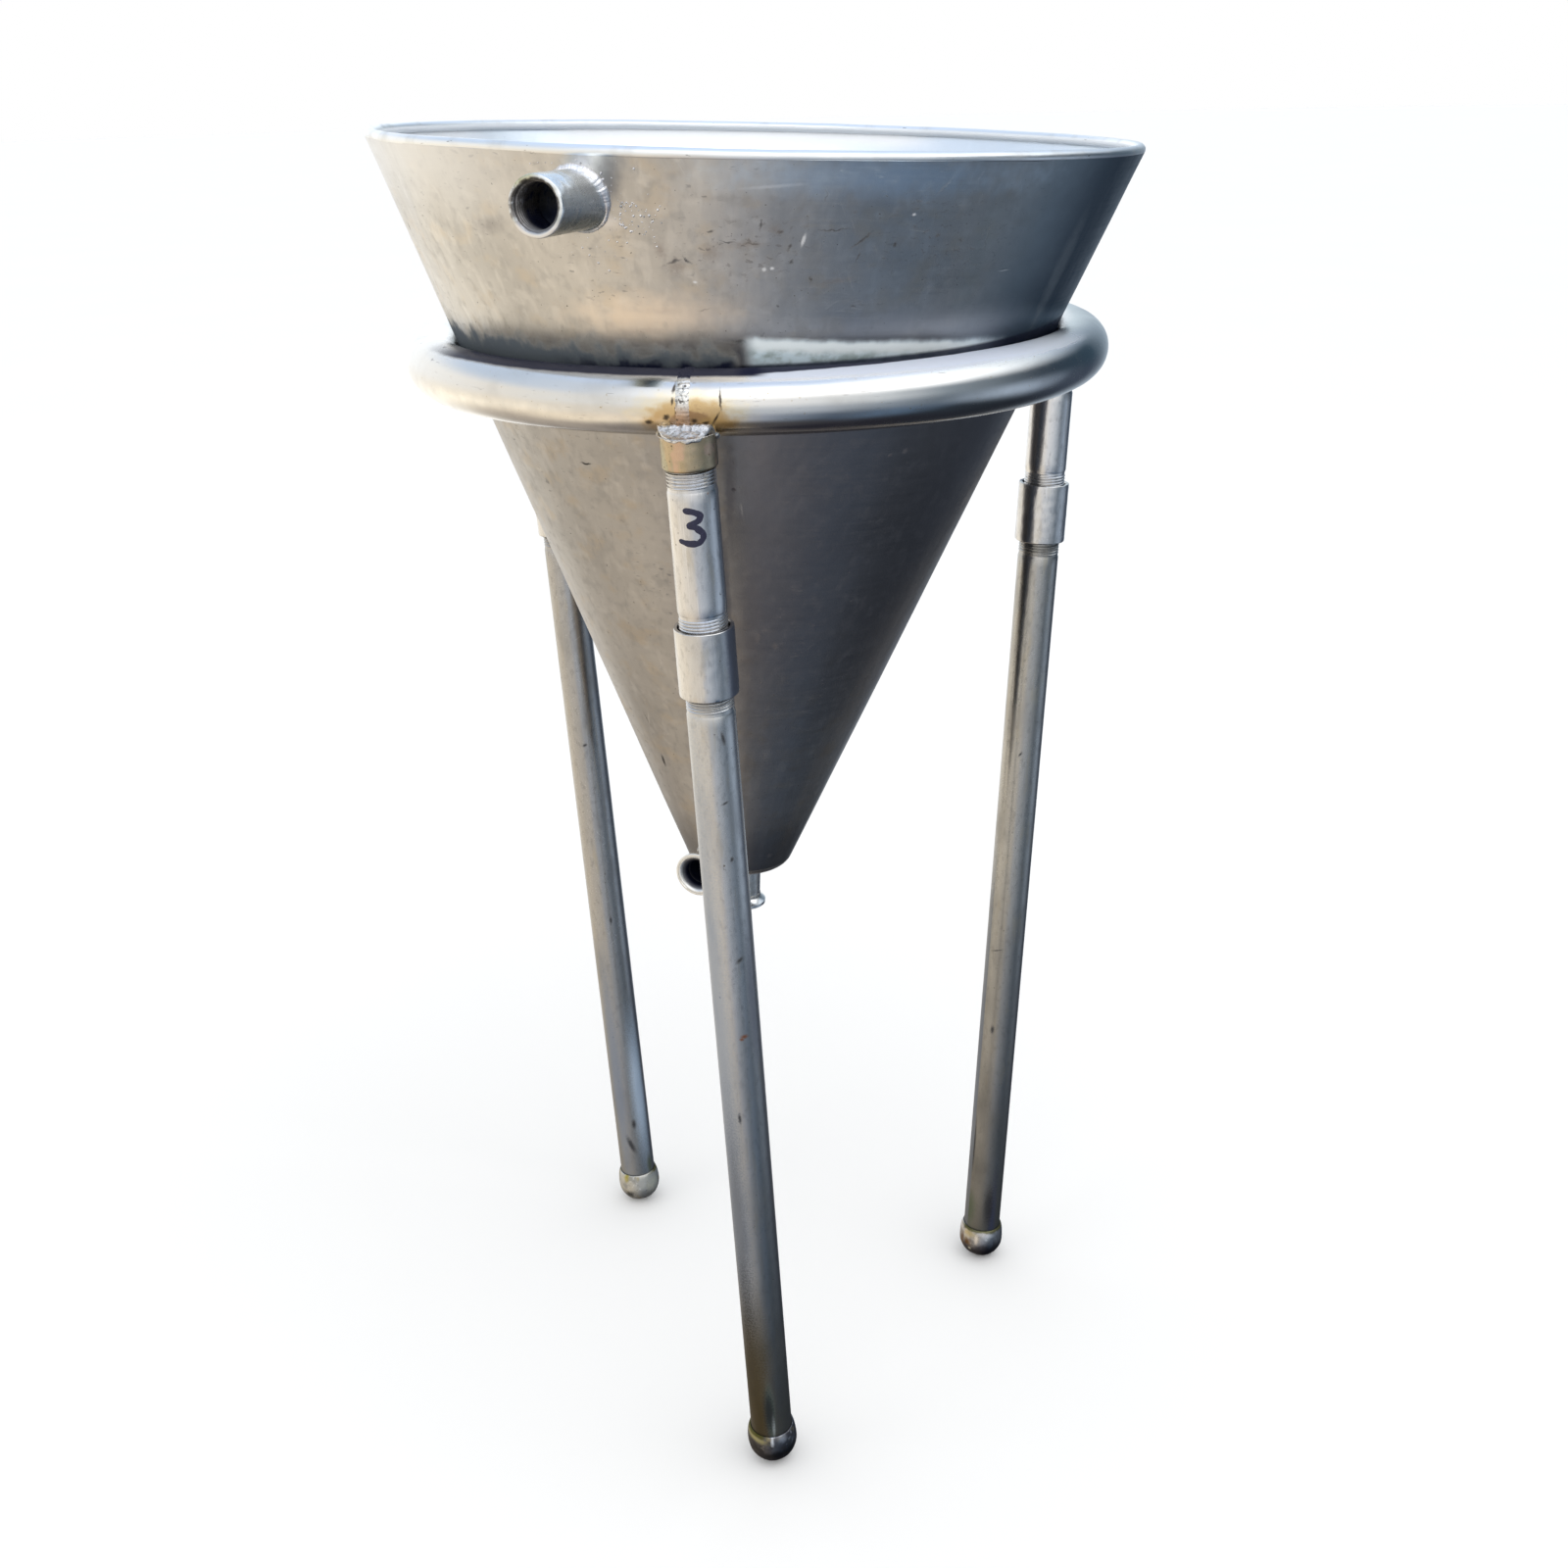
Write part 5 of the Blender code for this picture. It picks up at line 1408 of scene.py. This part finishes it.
level_round = [(-180, (1.3, 1.38, 1.46)), (180, (1.3, 1.38, 1.46)), (-130, (1.22, 1.22, 1.20)),
               (-90, (1.08, 1.04, 0.97)), (-50, (1.0, 1.0, 0.98)), (0, (1.15, 1.15, 1.15)),
               (35, (0.85, 0.90, 0.95)), (60, (0.30, 0.36, 0.42)), (100, (0.05, 0.07, 0.10)),
               (135, (0.05, 0.09, 0.13)), (157, (0.40, 0.49, 0.58)), (172, (0.80, 0.92, 1.0))]
half_up = [(-180, (0.72, 0.88, 1.12)), (180, (0.72, 0.88, 1.12)), (-110, (0.70, 0.82, 1.0)),
           (-60, (0.82, 0.90, 1.02)), (-20, (1.6, 1.6, 1.6)), (10, (2.2, 2.2, 2.2)), (65, (2.0, 2.05, 2.1)),
           (110, (1.1, 1.2, 1.3)), (145, (0.70, 0.84, 1.06))]
below = round_the_room(straight_down)
for stops, low, high in ((steeply_down, -0.95, -0.78), (slightly_down, -0.70, -0.38),
                         (level_round, -0.34, 0.06), (half_up, 0.22, 0.58)):
    share = room_node("MapRange", upward, low, high, 0.0, 1.0, interpolation_type="SMOOTHSTEP").outputs[0]
    below = blend_colours(share, below, round_the_room(stops))
top = room_node("MapRange", upward, 0.72, 0.97, 0.0, 1.0, interpolation_type="SMOOTHSTEP").outputs[0]
room_colour = blend_colours(top, below, (0.78, 0.95, 1.26))
light = room_node("LightPath")
room_colour = blend_colours(light.outputs["Is Diffuse Ray"], room_colour, (1.16, 1.16, 1.16))
room_colour = blend_colours(light.outputs["Is Camera Ray"], room_colour, (1.0, 1.0, 1.0))
background = sky.nodes["Background"]
sky.links.new(room_colour, background.inputs["Color"])
background.inputs["Strength"].default_value = 1.0

bpy.context.scene.view_settings.view_transform = "Standard"


# The camera stands where the photograph was taken: about 1.3 m in front, a little above the
# rim, looking down at 21 degrees and held slightly askew.

tilt, roll = math.radians(20.67), math.radians(1.45)
ahead = Vector((0, math.cos(tilt), -math.sin(tilt)))
down = Vector((0, -math.sin(tilt), -math.cos(tilt)))
right = Vector((1, 0, 0)) * math.cos(roll) + down * math.sin(roll)
below_view = Vector((-1, 0, 0)) * math.sin(roll) + down * math.cos(roll)
lens = bpy.data.cameras.new("camera")
lens.lens = 40.007
lens.shift_x, lens.shift_y = 0.025, -0.0375
camera = bpy.data.objects.new("camera", lens)
bpy.context.collection.objects.link(camera)
turn = Matrix((right, -below_view, -ahead)).transposed().to_4x4()
STANDPOINT = (-0.01831, -1.34221, 1.08198)
camera.matrix_world = Matrix.Translation(STANDPOINT) @ turn
bpy.context.scene.camera = camera
